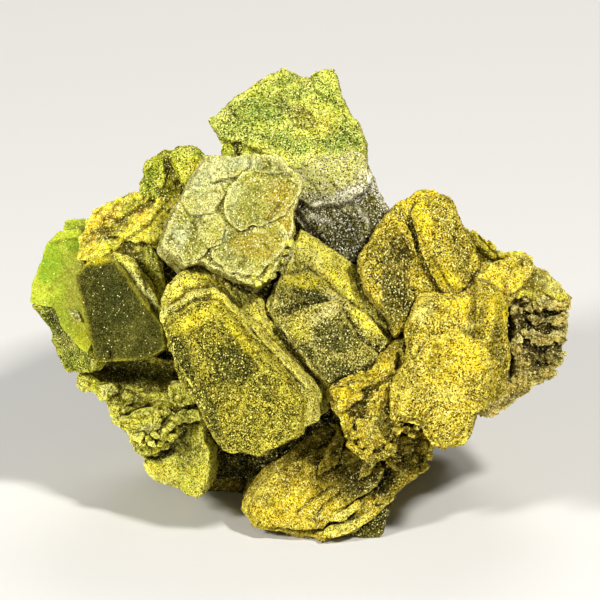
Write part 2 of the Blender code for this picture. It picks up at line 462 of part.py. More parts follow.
def join(specimen, helpers, cutter):
    """Union every crystal into the specimen, then cut it flat where it rests."""
    union = specimen.modifiers.new("grown together", "BOOLEAN")
    union.operation = "UNION"
    union.operand_type = "COLLECTION"
    union.collection = helpers
    union.solver = "EXACT"
    flat = specimen.modifiers.new("cut flat", "BOOLEAN")
    flat.operation = "DIFFERENCE"
    flat.object = cutter
    flat.solver = "EXACT"


def shell_of(start):
    """Every face that can be reached from this one across edges."""
    shell = {start}
    border = [start]
    while border:
        for edge in border.pop().edges:
            for face in edge.link_faces:
                if face not in shell:
                    shell.add(face)
                    border.append(face)
    return shell


def keep_outer_shell(specimen):
    """Apply the joining, and fill the pin-sized pockets that crystals close between them."""
    bpy.context.view_layer.update()
    depsgraph = bpy.context.evaluated_depsgraph_get()
    mesh = bpy.data.meshes.new_from_object(specimen.evaluated_get(depsgraph))
    bm = bmesh.new()
    bm.from_mesh(mesh)
    lowest = min(bm.verts, key=lambda vert: vert.co.z)
    outer = shell_of(lowest.link_faces[0])
    pockets = [face for face in bm.faces if face not in outer]
    bmesh.ops.delete(bm, geom=pockets, context="FACES")
    bm.to_mesh(mesh)
    bm.free()
    specimen.modifiers.clear()
    specimen.data = mesh


def main():
    """Build the specimen."""
    for old in list(bpy.data.objects):
        bpy.data.objects.remove(old, do_unlink=True)
    specimen_collection = new_collection("heulandite specimen")
    crystals = new_collection("crystals")
    cutters = new_collection("cutters")
    show_frame = view_frame((0.0, 0.0, RISE), 0.0, LEAN_BACK_DEG)
    specimen = add_heart(show_frame, heulandite_material(), specimen_collection)
    for index, prism in enumerate(SHOW_SIDE):
        add_prism(prism, show_frame, f"show_{index}", crystals)
    add_ribs(show_frame, crystals)
    add_prism(FOOT, view_frame((0.0, 0.0, 0.0), 0.0, 90.0), "foot", crystals)
    add_hidden_crystals(crystals)
    join(specimen, crystals, floor_cutter(cutters))
    keep_outer_shell(specimen)


main()
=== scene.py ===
"""Dress the heulandite specimen: blocky crystals with ledges, scales, sugary grain and warm painted edge highlights.

Every crystal is a closed surface worked out on a grid. Its face is an outline drawn square-on in the
crystal's own view (right, up, out), laid on a plane that leans, and swept back into the cluster past
growth ledges. Lengths are millimetres.
"""
from __future__ import annotations

import logging
import math
import random
from collections.abc import Iterator
from dataclasses import dataclass, field
from enum import Enum, IntEnum
from functools import partial

import bpy
import numpy as np
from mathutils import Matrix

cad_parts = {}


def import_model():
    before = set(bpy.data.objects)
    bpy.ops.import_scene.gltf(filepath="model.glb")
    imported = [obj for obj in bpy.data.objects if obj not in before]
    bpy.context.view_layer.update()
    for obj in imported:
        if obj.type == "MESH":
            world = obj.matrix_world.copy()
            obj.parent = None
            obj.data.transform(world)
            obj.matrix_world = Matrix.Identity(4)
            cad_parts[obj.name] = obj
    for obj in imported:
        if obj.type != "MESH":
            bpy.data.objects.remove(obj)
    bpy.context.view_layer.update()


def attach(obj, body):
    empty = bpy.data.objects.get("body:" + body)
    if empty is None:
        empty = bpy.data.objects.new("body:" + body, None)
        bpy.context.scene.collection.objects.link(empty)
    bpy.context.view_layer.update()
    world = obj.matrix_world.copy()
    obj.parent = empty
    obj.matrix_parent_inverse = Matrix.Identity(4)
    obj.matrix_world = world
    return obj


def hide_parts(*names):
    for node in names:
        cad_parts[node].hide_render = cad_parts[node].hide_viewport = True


MM = 0.001
NODE = "crystal_cluster"
LEAN_BACK_DEG = 20.0
RISE = 22.9

Outline = tuple[tuple[float, float], ...]
Triple = tuple[float, float, float]

Socket = bpy.types.NodeSocket

LOG = logging.getLogger("heulandite")


# ---- noise on whole arrays
def hashed(cells: np.ndarray, seed: int) -> np.ndarray:
    """Give every whole-numbered cell a fixed random number.

    Args:
        cells: whole numbers, shape (..., 3).
        seed: which random field to read.

    Returns:
        Numbers from 0 to 1, shape (...): the whole numbers, each times a large one, are mixed bit by bit
        with the seed and shuffled by shifts and products.
    """
    whole = cells.astype(np.int64).astype(np.uint32)
    mixed = np.uint32((seed * 2654435761 + 12345) & 0xFFFFFFFF)
    for axis, factor in enumerate((73856093, 19349663, 83492791)):
        mixed = mixed ^ (whole[..., axis] * np.uint32(factor))
    for shift, factor in ((15, 2246822519), (13, 3266489917), (16, 1)):
        mixed = (mixed ^ (mixed >> np.uint32(shift))) * np.uint32(factor)
    return mixed.astype(np.float64) / 2.0**32


def cell_corners(part: np.ndarray) -> Iterator[tuple[np.ndarray, np.ndarray]]:
    """The eight corners of a cell, each with its weight for points this far along the cell."""
    for step in np.ndindex(2, 2, 2):
        yield np.array(step), np.prod(np.where(np.array(step) == 1, part, 1.0 - part), axis=-1)


def value_noise(points: np.ndarray, size: float, seed: int) -> np.ndarray:
    """Smooth noise from -1 to 1.

    Args:
        points: places, shape (..., 3).
        size: how far apart its bumps are.
        seed: which random field to read.

    Returns:
        The random numbers at the eight corners of each point's cell, blended by the smooth step of how
        far along the cell the point lies.
    """
    scaled = points / size
    corner = np.floor(scaled)
    part = scaled - corner
    part = part * part * (3.0 - 2.0 * part)
    total = np.zeros(points.shape[:-1])
    for step, weight in cell_corners(part):
        total += weight * hashed(corner + step, seed)
    return total * 2.0 - 1.0


def fractal(points: np.ndarray, size: float, octaves: int, seed: int) -> np.ndarray:
    """Sum value noise, each octave half the size and half the height of the one before.

    Args:
        points: places, shape (..., 3).
        size: how far apart the bumps of the first octave are.
        octaves: how many there are.
        seed: which random field to read.

    Returns:
        The sum over the octaves' heights, from -1 to 1.
    """
    total = np.zeros(points.shape[:-1])
    height = 1.0
    weight = 0.0
    for octave in range(octaves):
        total += height * value_noise(points, size / 2.0**octave, seed + 31 * octave)
        weight += height
        height *= 0.5
    return total / weight


def lumps(points: np.ndarray, size: float, seed: int) -> tuple[np.ndarray, np.ndarray]:
    """Part space into lumps, one about each of a jittered grid's points.

    Args:
        points: places, shape (..., 3).
        size: how wide a lump is.
        seed: which random field to read.

    Returns:
        How far each point is from the border with the next lump, over the size, and its lump's own
        random number.
    """
    scaled = points / size
    corner = np.floor(scaled)
    first = second = np.full(points.shape[:-1], 9.0)
    own = np.zeros(points.shape[:-1])
    for step in np.ndindex(3, 3, 3):
        cell = corner + (np.array(step) - 1)
        jitter = np.stack([hashed(cell, seed + k) for k in range(3)], axis=-1)
        distance = np.linalg.norm(cell + 0.15 + 0.7 * jitter - scaled, axis=-1)
        nearer = distance < first
        second = np.where(nearer, first, np.minimum(second, distance))
        own = np.where(nearer, hashed(cell, seed + 7), own)
        first = np.where(nearer, distance, first)
    return second - first, own


def smooth_step(low: float, high: float, value: np.ndarray) -> np.ndarray:
    """Rise from 0 at low to 1 at high with level ends."""
    part = np.clip((value - low) / (high - low), 0.0, 1.0)
    return part * part * (3.0 - 2.0 * part)


def bell(value: np.ndarray, width: float) -> np.ndarray:
    """A bell curve that is 1 at 0 and falls to 1/e at the width."""
    return np.exp(-((value / width) ** 2))


def fade(deep: np.ndarray, over: float) -> np.ndarray:
    """Fall from 1 at depth 0 to 0 at the depth given."""
    return np.clip(1.0 - deep / over, 0.0, 1.0)


def line(*numbers: float) -> Outline:
    """Pair up numbers into the corners of an outline or path: right, up, right, up and so on."""
    return tuple(zip(numbers[::2], numbers[1::2]))


def centre(outline: Outline) -> np.ndarray:
    """The mean of an outline's corners."""
    return np.mean(np.array(outline, float), axis=0)


def side_distance(places: np.ndarray, start: np.ndarray, end: np.ndarray) -> np.ndarray:
    """Distance from each place to the straight side from start to end."""
    side = end - start
    along = np.clip(((places - start) @ side) / (side @ side), 0.0, 1.0)
    return np.linalg.norm(places - start - along[..., None] * side, axis=-1)


def path_distance(places: np.ndarray, path: Outline) -> np.ndarray:
    """Distance from each place to the nearest stretch of an open path."""
    corners = np.array(path)
    return np.min([side_distance(places, start, end) for start, end in zip(corners, corners[1:])], axis=0)


def outline_distance(places: np.ndarray, outline: Outline) -> np.ndarray:
    """Distance to a closed outline in its plane, negative inside.

    Args:
        places: right and up, shape (..., 2).
        outline: the corners in order.

    Returns:
        The distance to the nearest side; the sign comes from how often a level line from the place
        crosses the sides.
    """
    nearest = path_distance(places, (*outline, outline[0]))
    inside = np.zeros(places.shape[:-1], bool)
    for start, end in zip(outline, (*outline[1:], outline[0])):
        if start[1] != end[1]:
            spans = (start[1] > places[..., 1]) != (end[1] > places[..., 1])
            crossing = start[0] + (places[..., 1] - start[1]) * (end[0] - start[0]) / (end[1] - start[1])
            inside ^= spans & (places[..., 0] < crossing)
    return np.where(inside, -nearest, nearest)


# ---- finishes
class Tint(Enum):
    """The colours that patches of a crystal can take; the value is the channel that holds the mask."""

    GREEN = 0
    GOLD = 1
    PALE = 2


def linear(screen: str) -> tuple[float, ...]:
    """Turn a screen colour, six hexadecimal digits, into the four linear numbers that a shader takes."""
    parts = [int(screen[start:start + 2], 16) / 255.0 for start in (0, 2, 4)]
    return *(part / 12.92 if part <= 0.04045 else ((part + 0.055) / 1.055) ** 2.4 for part in parts), 1.0


@dataclass(frozen=True)
class StoneFinish:
    """A stone's screen colours and how its grain looks; the shares run from 0 to 1."""

    name: str
    body: str
    shade: str
    fleck: str
    green: str = "586a1c"
    gold: str = "d6b21b"
    pale: str = "bec264"
    wall: str = "b29e22"
    # rim is the colour of the painted highlight along the edges, and its share how strongly it is laid on.
    rim: str = "e2da3c"
    wall_share: float = 0.5
    edge_highlight_share: float = 0.42
    glint: str = "fffaa5"
    grain_mm: float = 0.11
    grain_contrast: float = 1.0
    fleck_share: float = 0.42
    sparkle: float = 0.45
    bump_mm: float = 0.16
    roughness: float = 0.55
    shine: float = 0.2


# ---- the stone's shader
class Wiring:
    """Short ways to add and link shader nodes in one tree."""

    def __init__(self, tree: bpy.types.NodeTree) -> None:
        """Work in this tree."""
        self.tree = tree

    def feed(self, node: bpy.types.Node, takes: dict[int | str, object]) -> None:
        """Link or set a node's inputs.

        Args:
            node: whose inputs they are.
            takes: sockets, values or None for nothing, by input.
        """
        for name, value in takes.items():
            if isinstance(value, bpy.types.NodeSocket):
                self.tree.links.new(value, node.inputs[name])
            elif value is not None:
                node.inputs[name].default_value = value

    def add(self, kind: str, gives: int | str, takes: dict[int | str, object], **settings: object) -> Socket:
        """Add a node.

        Args:
            kind: its type, without the word ShaderNode.
            gives: which of its outputs is wanted.
            takes: sockets or values by input.
            settings: the node's own properties.

        Returns:
            The output wanted.
        """
        node = self.tree.nodes.new(f"ShaderNode{kind}")
        for name, value in settings.items():
            setattr(node, name, value)
        self.feed(node, takes)
        return node.outputs[gives]

    def math(self, operation: str, first: object, second: object, clamp: bool = False) -> Socket:
        """A Math node's result for two values."""
        return self.add("Math", 0, {0: first, 1: second}, operation=operation, use_clamp=clamp)

    def times(self, first: object, second: object) -> Socket:
        """The product of two values."""
        return self.math("MULTIPLY", first, second)

    def mix(self, share: object, first: object, second: object, blend: str = "MIX") -> Socket:
        """A mix of two colours by a share."""
        takes = {"Factor": share, "A": first, "B": second}
        return self.add("Mix", "Result", takes, data_type="RGBA", blend_type=blend)

    def ramp(self, value: object, low: object, high: object, to_low: float = 0.0, to_high: float = 1.0) -> Socket:
        """Map a value smoothly from one range to another."""
        takes = {"Value": value, "From Min": low, "From Max": high, "To Min": to_low, "To Max": to_high}
        return self.add("MapRange", "Result", takes, interpolation_type="SMOOTHSTEP")

    def noise(self, place: Socket, scale: object, detail: float, rough: float = 0.5, gives: str = "Fac") -> Socket:
        """Fractal noise from 0 to 1 at a place: a number, or a colour whose channels vary on their own."""
        takes = {"Vector": place, "Scale": scale, "Detail": detail, "Roughness": rough}
        return self.add("TexNoise", gives, takes)

    def shift(self, place: object, way: object, amount: object) -> Socket:
        """The place moved along the way, less its mean of one half, times the amount."""
        centred = self.add("VectorMath", 0, {0: way, 1: (0.5, 0.5, 0.5)}, operation="SUBTRACT")
        scaled = self.add("VectorMath", 0, {0: centred, "Scale": amount}, operation="SCALE")
        return self.add("VectorMath", 0, {0: place, 1: scaled})

    def split(self, vector: object) -> tuple[Socket, ...]:
        """The three parts of a vector."""
        return tuple(self.add("SeparateXYZ", 0, {0: vector}).node.outputs)


class NodeGroup(Wiring):
    """Builds one shader node group with named inputs and outputs."""

    def __init__(self, name: str) -> None:
        """Start an empty group of this name."""
        super().__init__(bpy.data.node_groups.new(name, "ShaderNodeTree"))
        self.entry = self.tree.nodes.new("NodeGroupInput")
        self.exit = self.tree.nodes.new("NodeGroupOutput")

    def takes(self, name: str, kind: str = "Float") -> Socket:
        """Add an input of this name and kind, and give its socket inside the group."""
        self.tree.interface.new_socket(name, in_out="INPUT", socket_type=f"NodeSocket{kind}")
        return self.entry.outputs[name]

    def gives(self, name: str, source: Socket) -> None:
        """Add an output number and link it."""
        self.tree.interface.new_socket(name, in_out="OUTPUT", socket_type="NodeSocketFloat")
        self.tree.links.new(source, self.exit.inputs[name])


class StoneShader:
    """Makes the material of each finish from two shared node groups."""

    warm = (1.14, 0.98, 0.44, 1.0)
    cool = (0.90, 1.08, 0.52, 1.0)
    pit_shade = (0.15, 0.11, 0.02, 1.0)
    hollow_shade = (0.11, 0.085, 0.035, 1.0)
    gleam = (1.0, 0.9, 0.45, 1.0)

    def __init__(self) -> None:
        """Build the shared groups once."""
        self.grain = self.build_grain()
        self.masks = self.build_masks()
        self.made: dict[str, bpy.types.Material] = {}

    def build_grain(self) -> bpy.types.NodeTree:
        """Sugary grain from a bent Voronoi pattern and noise.

        Returns:
            A group that gives flecks, pits, rare sparkles, drifts of warm and cool, and the grains' height.
        """
        group = NodeGroup("sugar_grain")
        place = group.takes("Place", "Vector")
        scale = group.takes("Grains Per Metre")
        share = group.takes("Fleck Share")
        rarity = group.takes("Sparkle Share")
        warp = group.noise(place, group.times(scale, 1.3), 1.0, gives="Color")
        bent = group.shift(place, warp, group.math("DIVIDE", 0.9, scale))
        cells = group.add("TexVoronoi", "Color", {"Vector": bent, "Scale": scale})
        first, second, third = group.split(cells)
        swell = group.noise(place, group.times(scale, 0.45), 2.0, 0.6)
        region = group.noise(place, group.times(scale, 0.10), 3.0, 0.6)
        drift = group.times(group.math("SUBTRACT", region, 0.5), 0.65)
        drift = group.math("ADD", drift, group.times(group.math("SUBTRACT", swell, 0.5), 0.6))
        level = group.math("SUBTRACT", group.math("SUBTRACT", 1.0, share), drift)
        rare = group.math("SUBTRACT", 1.0, group.times(rarity, 0.3))
        tone = group.noise(place, group.times(scale, 0.22), 3.0, 0.7)
        low, high = group.math("SUBTRACT", level, 0.2), group.math("ADD", level, 0.12)
        group.gives("Flecks", group.ramp(first, low, high))
        group.gives("Pits", group.ramp(group.math("ADD", second, drift), 0.46, 0.20))
        group.gives("Sparkles", group.ramp(third, rare, 1.0))
        group.gives("Warmth", group.ramp(tone, 0.35, 0.65))
        group.gives("Height", group.math("ADD", swell, group.times(first, 0.35)))
        return group.tree

    def build_masks(self) -> bpy.types.NodeTree:
        """The tint, wall, painted highlight and painted shade masks of a crystal's mesh, each times a noise round 1.

        Returns:
            A group that gives the six masks.
        """
        group = NodeGroup("tint_and_painted_light_masks")
        wobble = group.math("SUBTRACT", group.noise(group.takes("Place", "Vector"), 900.0, 4.0, 0.6), 0.5)
        for names, source, spread in (
            (("Green", "Gold", "Pale"), "patches", 0.9),
            (("Painted Highlight", "Wall", "Painted Shade"), "form", 0.5),
        ):
            carried = group.add("Attribute", "Vector", {}, attribute_type="GEOMETRY", attribute_name=source)
            swell = group.math("ADD", 1.0, group.times(group.times(wobble, spread), 2.0))
            for name, part in zip(names, group.split(carried)):
                group.gives(name, group.math("MULTIPLY", part, swell, clamp=True))
        return group.tree

    def material(self, finish: StoneFinish) -> bpy.types.Material:
        """Make a finish's material, or give the one already made.

        Args:
            finish: the colours and grain.

        Returns:
            A material with one Principled BSDF, whose colour, roughness and bump vary over the stone.
        """
        if finish.name in self.made:
            return self.made[finish.name]
        material = bpy.data.materials.new(finish.name)
        material.use_nodes = True
        wire = Wiring(material.node_tree)
        place = wire.add("TexCoord", "Object", {})
        takes = {
            "Place": place, "Grains Per Metre": 1.0 / (finish.grain_mm * MM), "Fleck Share": finish.fleck_share,
            "Sparkle Share": finish.sparkle,
        }
        grain = wire.add("Group", 0, takes, node_tree=self.grain).node.outputs
        masks = wire.add("Group", 0, {"Place": place}, node_tree=self.masks).node.outputs
        blotch = wire.ramp(wire.noise(place, 420.0, 4.0, 0.6), 0.38, 0.62)
        colour = wire.mix(blotch, linear(finish.shade), linear(finish.body))
        colour = wire.mix(masks["Green"], colour, linear(finish.green))
        colour = wire.mix(masks["Gold"], colour, linear(finish.gold))
        colour = wire.mix(0.8, colour, wire.mix(grain["Warmth"], self.cool, self.warm), "MULTIPLY")
        colour = wire.mix(masks["Pale"], colour, linear(finish.pale))
        colour = wire.mix(wire.times(masks["Wall"], finish.wall_share), colour, linear(finish.wall))
        # The rim colour, laid on by the highlight mask, is a painted highlight along the edges.
        colour = wire.mix(wire.times(masks["Painted Highlight"], finish.edge_highlight_share), colour, linear(finish.rim))
        # Pits are darkened towards pit_shade: painted shade between the grains, partly their own dark colour.
        dark = wire.mix(1.0, colour, self.pit_shade, "MULTIPLY")
        tinted = wire.math("MAXIMUM", masks["Green"], wire.times(masks["Gold"], 0.5))
        bright = wire.mix(wire.ramp(tinted, 0.0, 1.0, 0.35, 0.8), linear(finish.fleck), colour)
        pits = wire.times(grain["Pits"], finish.grain_contrast)
        colour = wire.mix(wire.times(grain["Flecks"], finish.grain_contrast), colour, bright)
        colour = wire.mix(pits, colour, dark)
        # Painted shade: hollows, grooves, steps and creases are darkened towards hollow_shade.
        hollow = wire.mix(1.0, colour, self.hollow_shade, "MULTIPLY")
        colour = wire.mix(wire.times(masks["Painted Shade"], 0.92), colour, hollow)
        bump = {"Strength": 1.0, "Distance": finish.bump_mm * MM, "Height": grain["Height"]}
        wire.feed(material.node_tree.nodes["Principled BSDF"], {
            "Base Color": wire.mix(grain["Sparkles"], colour, linear(finish.glint)),
            "Roughness": wire.ramp(grain["Flecks"], 0.0, 1.0, finish.roughness, finish.roughness - 0.2),
            "Specular IOR Level": wire.ramp(pits, 0.0, 0.6, finish.shine, 0.03),
            "Specular Tint": self.gleam,
            "Normal": wire.add("Bump", "Normal", bump),
        })
        self.made[finish.name] = material
        return material


# ---- crystals as surfaces
@dataclass(frozen=True)
class View:
    """A crystal's own view: where its middle is and which way it looks, in degrees."""

    origin: Triple
    azimuth: float
    elevation: float
    roll: float = 0.0

    def axes(self) -> np.ndarray:
        """The view's right, up and out in the world, one a row.

        Returns:
            Out has the azimuth and elevation, right is level, and a roll turns right towards up.
        """
        turn, tilt, spin = np.radians([self.azimuth, self.elevation, self.roll])
        out = np.array([math.sin(turn) * math.cos(tilt), -math.cos(turn) * math.cos(tilt), math.sin(tilt)])
        level = np.array([math.cos(turn), math.sin(turn), 0.0])
        upright = np.cross(out, level)
        right = level * math.cos(spin) + upright * math.sin(spin)
        up = upright * math.cos(spin) - level * math.sin(spin)
        return np.stack([right, up, out])

    def to_world(self, places: np.ndarray) -> np.ndarray:
        """Carry (right, up, out) places to the world."""
        return places @ self.axes() + self.origin

    def to_view(self, points: np.ndarray) -> np.ndarray:
        """Carry points of the world to (right, up, out)."""
        return (points - self.origin) @ self.axes().T


SHOW_VIEW = View((0.0, 0.0, RISE), 0.0, LEAN_BACK_DEG)
FOOT_VIEW = View((0.0, 0.0, 0.0), 0.0, 90.0)


@dataclass(frozen=True)
class Texture:
    """How rough a crystal's surface is: heights and sizes."""

    swell: float = 0.12
    swell_size: float = 3.2
    grit: float = 0.10
    grit_size: float = 0.6
    facet: float = 0.10
    terrace: float = 0.14
    terrace_size: float = 5.0
    crumble: float = 0.0
    crumble_size: float = 1.1
    rim_crumble: float = 0.25
    rim_crumble_width: float = 0.8
    layer: float = 0.22
    layer_thickness: float = 0.8
    chip: float = 0.24
    # How wide the painted highlight along the face's rim is.
    rim_highlight_width: float = 0.3
    round: float = 0.08


@dataclass(frozen=True)
class Scale:
    """A growth scale raised on a face: its outline, its height, and how it leans to the right and up."""

    outline: Outline
    rise: float
    lean: tuple[float, float] = (0.0, 0.0)
    ragged: float = 0.22
    soft: float = 0.09


@dataclass(frozen=True)
class Groove:
    """A crack or groove cut along a path on a face."""

    path: Outline
    depth: float
    width: float
    ragged: float = 0.25


@dataclass(frozen=True)
class Facet:
    """A flat cut: right of the line from start to end, the face falls away at this slope."""

    start: tuple[float, float]
    end: tuple[float, float]
    slope: float
    glow: float = 0.5


@dataclass(frozen=True)
class Fibres:
    """Fine parallel ridges over a face: height and spacing, and their turn in degrees."""

    height: float
    spacing: float
    turn: float


@dataclass(frozen=True)
class Patch:
    """A soft-edged coloured patch on a face: its middle, its half width and height, and its turn in degrees."""

    tint: Tint
    right: float
    up: float
    wide: float
    high: float
    strength: float = 1.0
    turn: float = 0.0


green, gold, pale = (partial(Patch, tint) for tint in Tint)

# How wide a crystal is, beside its outline, at shares of the way along its sweep.
SHARP = line(0.0, 1.0, 0.04, 1.015, 0.3, 1.02, 0.34, 0.985, 0.66, 0.99, 0.72, 0.95, 1.0, 0.9)
LAYERED = line(0.0, 1.0, 0.05, 1.02, 0.2, 1.02, 0.22, 0.985, 0.42, 1.0, 0.46, 1.035, 1.0, 0.95)
PLAIN = line(0.0, 1.0, 0.08, 1.02, 1.0, 0.94)
THIN = line(0.0, 1.0, 0.12, 1.012, 1.0, 1.0)
HIDDEN = line(0.0, 1.0, 0.05, 1.02, 0.3, 1.03, 0.36, 0.97, 1.0, 0.92)
FOOT = line(0.0, 1.0, 0.5, 1.02, 0.55, 0.99, 1.0, 1.0)


@dataclass
class Shell:
    """A closed surface with vertices in the world, faces, masks and one finish."""

    vertices: np.ndarray
    quads: np.ndarray
    triangles: np.ndarray
    patches: np.ndarray
    form: np.ndarray
    finish: StoneFinish


class Random(IntEnum):
    """Which random field a feature reads, counted from its crystal's seed."""

    CHIP = 3
    RIM = 5
    WAVER = 11
    TERRACE = 13
    BEND = 17
    LAYER = 19
    GRIT = 23
    SWELL = 29
    CRUMBLE = 37
    PATCH = 41
    FACET = 43
    FIBRE = 47


@dataclass
class Crystal:
    """One crystal or growth plate: an outline on a leaning plane, swept back.

    depth is how far out the plane is over the outline's middle, slope is its rise per millimetre to the
    right and upwards, and sweep is the way from the face to the far end.
    """

    outline: Outline
    depth: float
    slope: tuple[float, float]
    sweep: Triple
    finish: StoneFinish
    ledges: Outline
    texture: Texture
    scales: tuple[Scale, ...] = ()
    grooves: tuple[Groove, ...] = ()
    facets: tuple[Facet, ...] = ()
    fibres: Fibres | None = None
    patches: tuple[Patch, ...] = ()
    spacing: float = 0.2
    view: View = SHOW_VIEW
    seed: int = 1

    def noise(self, points: np.ndarray, size: float, octaves: int, which: Random) -> np.ndarray:
        """Fractal noise from one of the crystal's own random fields."""
        return fractal(points, size, octaves, self.seed + which)

    def rim(self) -> np.ndarray:
        """The outline as evenly spaced points, its corners worn and its line chipped.

        Returns:
            Right and up, anticlockwise, one point a column: evenly spaced, averaged with their
            neighbours, then moved along the line's own normal by noise.
        """
        corners = np.array(self.outline, float)
        ahead = np.roll(corners, -1, axis=0)
        if np.sum(corners[:, 0] * ahead[:, 1] - corners[:, 1] * ahead[:, 0]) < 0.0:
            corners = corners[::-1]
        closed = np.vstack([corners, corners[:1]])
        reach = np.concatenate([[0.0], np.cumsum(np.linalg.norm(np.diff(closed, axis=0), axis=1))])
        columns = max(48, int(reach[-1] / self.spacing))
        stops = np.arange(columns) * reach[-1] / columns
        worn = np.stack([np.interp(stops, reach, closed[:, k]) for k in range(2)], axis=-1)
        for _ in range(2):
            worn = 0.5 * worn + 0.25 * (np.roll(worn, 1, axis=0) + np.roll(worn, -1, axis=0))
        tangent = np.roll(worn, -1, axis=0) - np.roll(worn, 1, axis=0)
        outward = np.stack([tangent[:, 1], -tangent[:, 0]], axis=-1)
        outward /= np.linalg.norm(outward, axis=1, keepdims=True)
        spots = np.insert(worn, 2, self.depth, axis=-1)
        chip = self.texture.chip * self.noise(spots, 1.9, 3, Random.CHIP)
        chip += self.texture.crumble * (lumps(spots, self.texture.crumble_size, self.seed + Random.RIM)[1] - 0.6)
        return worn + outward * chip[:, None]

    def plane(self, places: np.ndarray) -> np.ndarray:
        """How far out the leaning plane is over each place."""
        return self.depth + (places - centre(self.outline)) @ self.slope

    def relief(self, places: np.ndarray) -> tuple[np.ndarray, np.ndarray, np.ndarray]:
        """Scales, grooves, facets and fibres on the face.

        Args:
            places: right and up on the face, shape (..., 2).

        Returns:
            Height over the plane and masks of the bright edges and dark hollows. A scale adds its height
            inside its wavering outline, a groove takes away a bell curve along its path, of the facets
            the one that cuts deepest counts, and fibres are noise stretched along their turn.
        """
        height, edge, hollow = (np.zeros(places.shape[:-1]) for _ in range(3))
        waver = self.noise(np.insert(places, 2, 0.0, axis=-1), 1.5, 3, Random.WAVER)
        for scale in self.scales:
            gap = outline_distance(places, scale.outline) + scale.ragged * waver
            lift = np.maximum(scale.rise + (places - centre(scale.outline)) @ scale.lean, 0.0)
            height += lift * smooth_step(scale.soft, -scale.soft, gap)
            raised = np.clip(lift / 0.5, 0.0, 1.0)
            # A scale's rim gets a painted highlight and its foot painted shade.
            edge = np.maximum(edge, raised * bell(gap + 0.14, 0.14))
            hollow = np.maximum(hollow, raised * bell(gap - 0.16, 0.15))
        for groove in self.grooves:
            gap = path_distance(places, groove.path) + groove.ragged * np.abs(waver)
            cut = bell(gap, groove.width)
            height -= groove.depth * cut
            # A groove is darkened with painted shade.
            hollow = np.maximum(hollow, cut * min(1.0, groove.depth / 0.3))
        drop, crest = self.cut(places, 0.15 * waver)
        edge = np.maximum(edge, crest)
        if self.fibres:
            turn = math.radians(self.fibres.turn)
            along = places @ (math.cos(turn), math.sin(turn))
            across = places @ (-math.sin(turn), math.cos(turn))
            lines = np.stack([0.12 * along, across + 0.2 * waver, np.zeros_like(along)], axis=-1)
            ridges = self.noise(lines, self.fibres.spacing, 3, Random.FIBRE)
            height += self.fibres.height * ridges
            # Fibre ridges get a painted highlight and the troughs between them painted shade.
            edge = np.maximum(edge, 0.45 * smooth_step(0.15, 0.6, ridges))
            hollow = np.maximum(hollow, 0.75 * smooth_step(-0.1, -0.55, ridges))
        return height - drop, edge, hollow

    def cut(self, places: np.ndarray, waver: np.ndarray | float = 0.0) -> tuple[np.ndarray, np.ndarray]:
        """Cut the face down by the facets, each its slope times the distance beyond its line.

        Args:
            places: right and up on the face, shape (..., 2).
            waver: how far the lines are moved.

        Returns:
            How far the deepest facet cuts down, and a mask of the facets' bright edges.
        """
        drop, edge = (np.zeros(places.shape[:-1]) for _ in range(2))
        for facet in self.facets:
            side = np.subtract(facet.end, facet.start)
            side = side / np.linalg.norm(side)
            beyond = (places - facet.start) @ (side[1], -side[0]) + waver
            # Each facet's line gets a painted highlight, where no earlier facet has cut.
            crest = facet.glow * bell(beyond, 0.16)
            edge = np.maximum(edge, np.where(drop < 0.1, crest, 0.0))
            drop = np.maximum(drop, facet.slope * beyond)
        return drop, edge

    def holds(self, points: np.ndarray) -> np.ndarray:
        """Tell which points are inside.

        Args:
            points: places in the world, shape (..., 3).

        Returns:
            True where the point, brought forward along the sweep to the face, lies within the outline
            and the sweep is long enough to reach it.
        """
        local = self.view.to_view(points)
        sweep = np.array(self.sweep)
        behind = self.plane(local[..., :2]) - self.cut(local[..., :2])[0] - local[..., 2]
        share = behind / (np.array(self.slope) @ sweep[:2] - sweep[2])
        places = local[..., :2] - share[..., None] * sweep[:2]
        return (share > 0.0) & (share < 1.0) & (outline_distance(places, self.outline) < 0.0)

    def terraces(self, places: np.ndarray) -> tuple[np.ndarray, np.ndarray, np.ndarray]:
        """Flat growth steps with sharp, winding edges all over the face.

        Args:
            places: right and up on the face, shape (..., 2).

        Returns:
            Height over the plane and masks of the steps' bright edges and dark feet. Noise is cut to
            whole numbers, each one step higher than the last; the climb takes the last sixth of each.
        """
        spots = np.insert(places, 2, 9.0, axis=-1)
        climb = 2.4 * self.noise(spots, self.texture.terrace_size, 4, Random.TERRACE)
        whole = np.floor(climb)
        rest = climb - whole
        height = self.texture.terrace * (whole + smooth_step(0.84, 1.0, rest))
        # The steps' edges get a painted highlight and their feet painted shade.
        amount = min(1.0, self.texture.terrace / 0.12)
        top = np.minimum(rest, 1.0 - rest)
        return height, amount * bell(top, 0.07), amount * bell(rest - 0.82, 0.06)

    def rows(self) -> tuple[np.ndarray, np.ndarray, np.ndarray]:
        """The grid's rows from the face's middle to the far end's middle.

        Returns:
            For each row, its share of the way to the rim, its millimetres inside the rim and its share
            of the sweep. Rows crowd where the edge turns over and thin out deep in the cluster.
        """
        reach = np.linalg.norm(np.array(self.outline) - centre(self.outline), axis=1)
        face = np.linspace(0.0, 1.0, max(8, int(np.mean(reach) / self.spacing)))[1:]
        turn = np.radians([25.0, 50.0, 75.0])
        length = float(np.linalg.norm(self.sweep))
        near = np.arange(self.texture.round + self.spacing, min(length, 7.0), self.spacing * 1.1)
        deep = np.arange(near[-1] + 0.4, length, 0.45) if length > 7.0 else np.array([length])
        wall = np.unique(np.round(np.concatenate([near, deep, [length]]), 4))
        back = np.linspace(1.0, 0.0, 10)[1:-1]
        worn = self.texture.round
        share = np.concatenate([face, np.ones(len(turn) + len(wall)), back])
        inset = np.concatenate(
            [np.full(len(face), worn), worn * (1.0 - np.sin(turn)), np.zeros(len(wall) + len(back))])
        drop = worn * (1.0 - np.cos(turn)) / length
        along = np.concatenate([np.zeros(len(face)), drop, wall / length, np.ones(len(back))])
        return share, inset, along

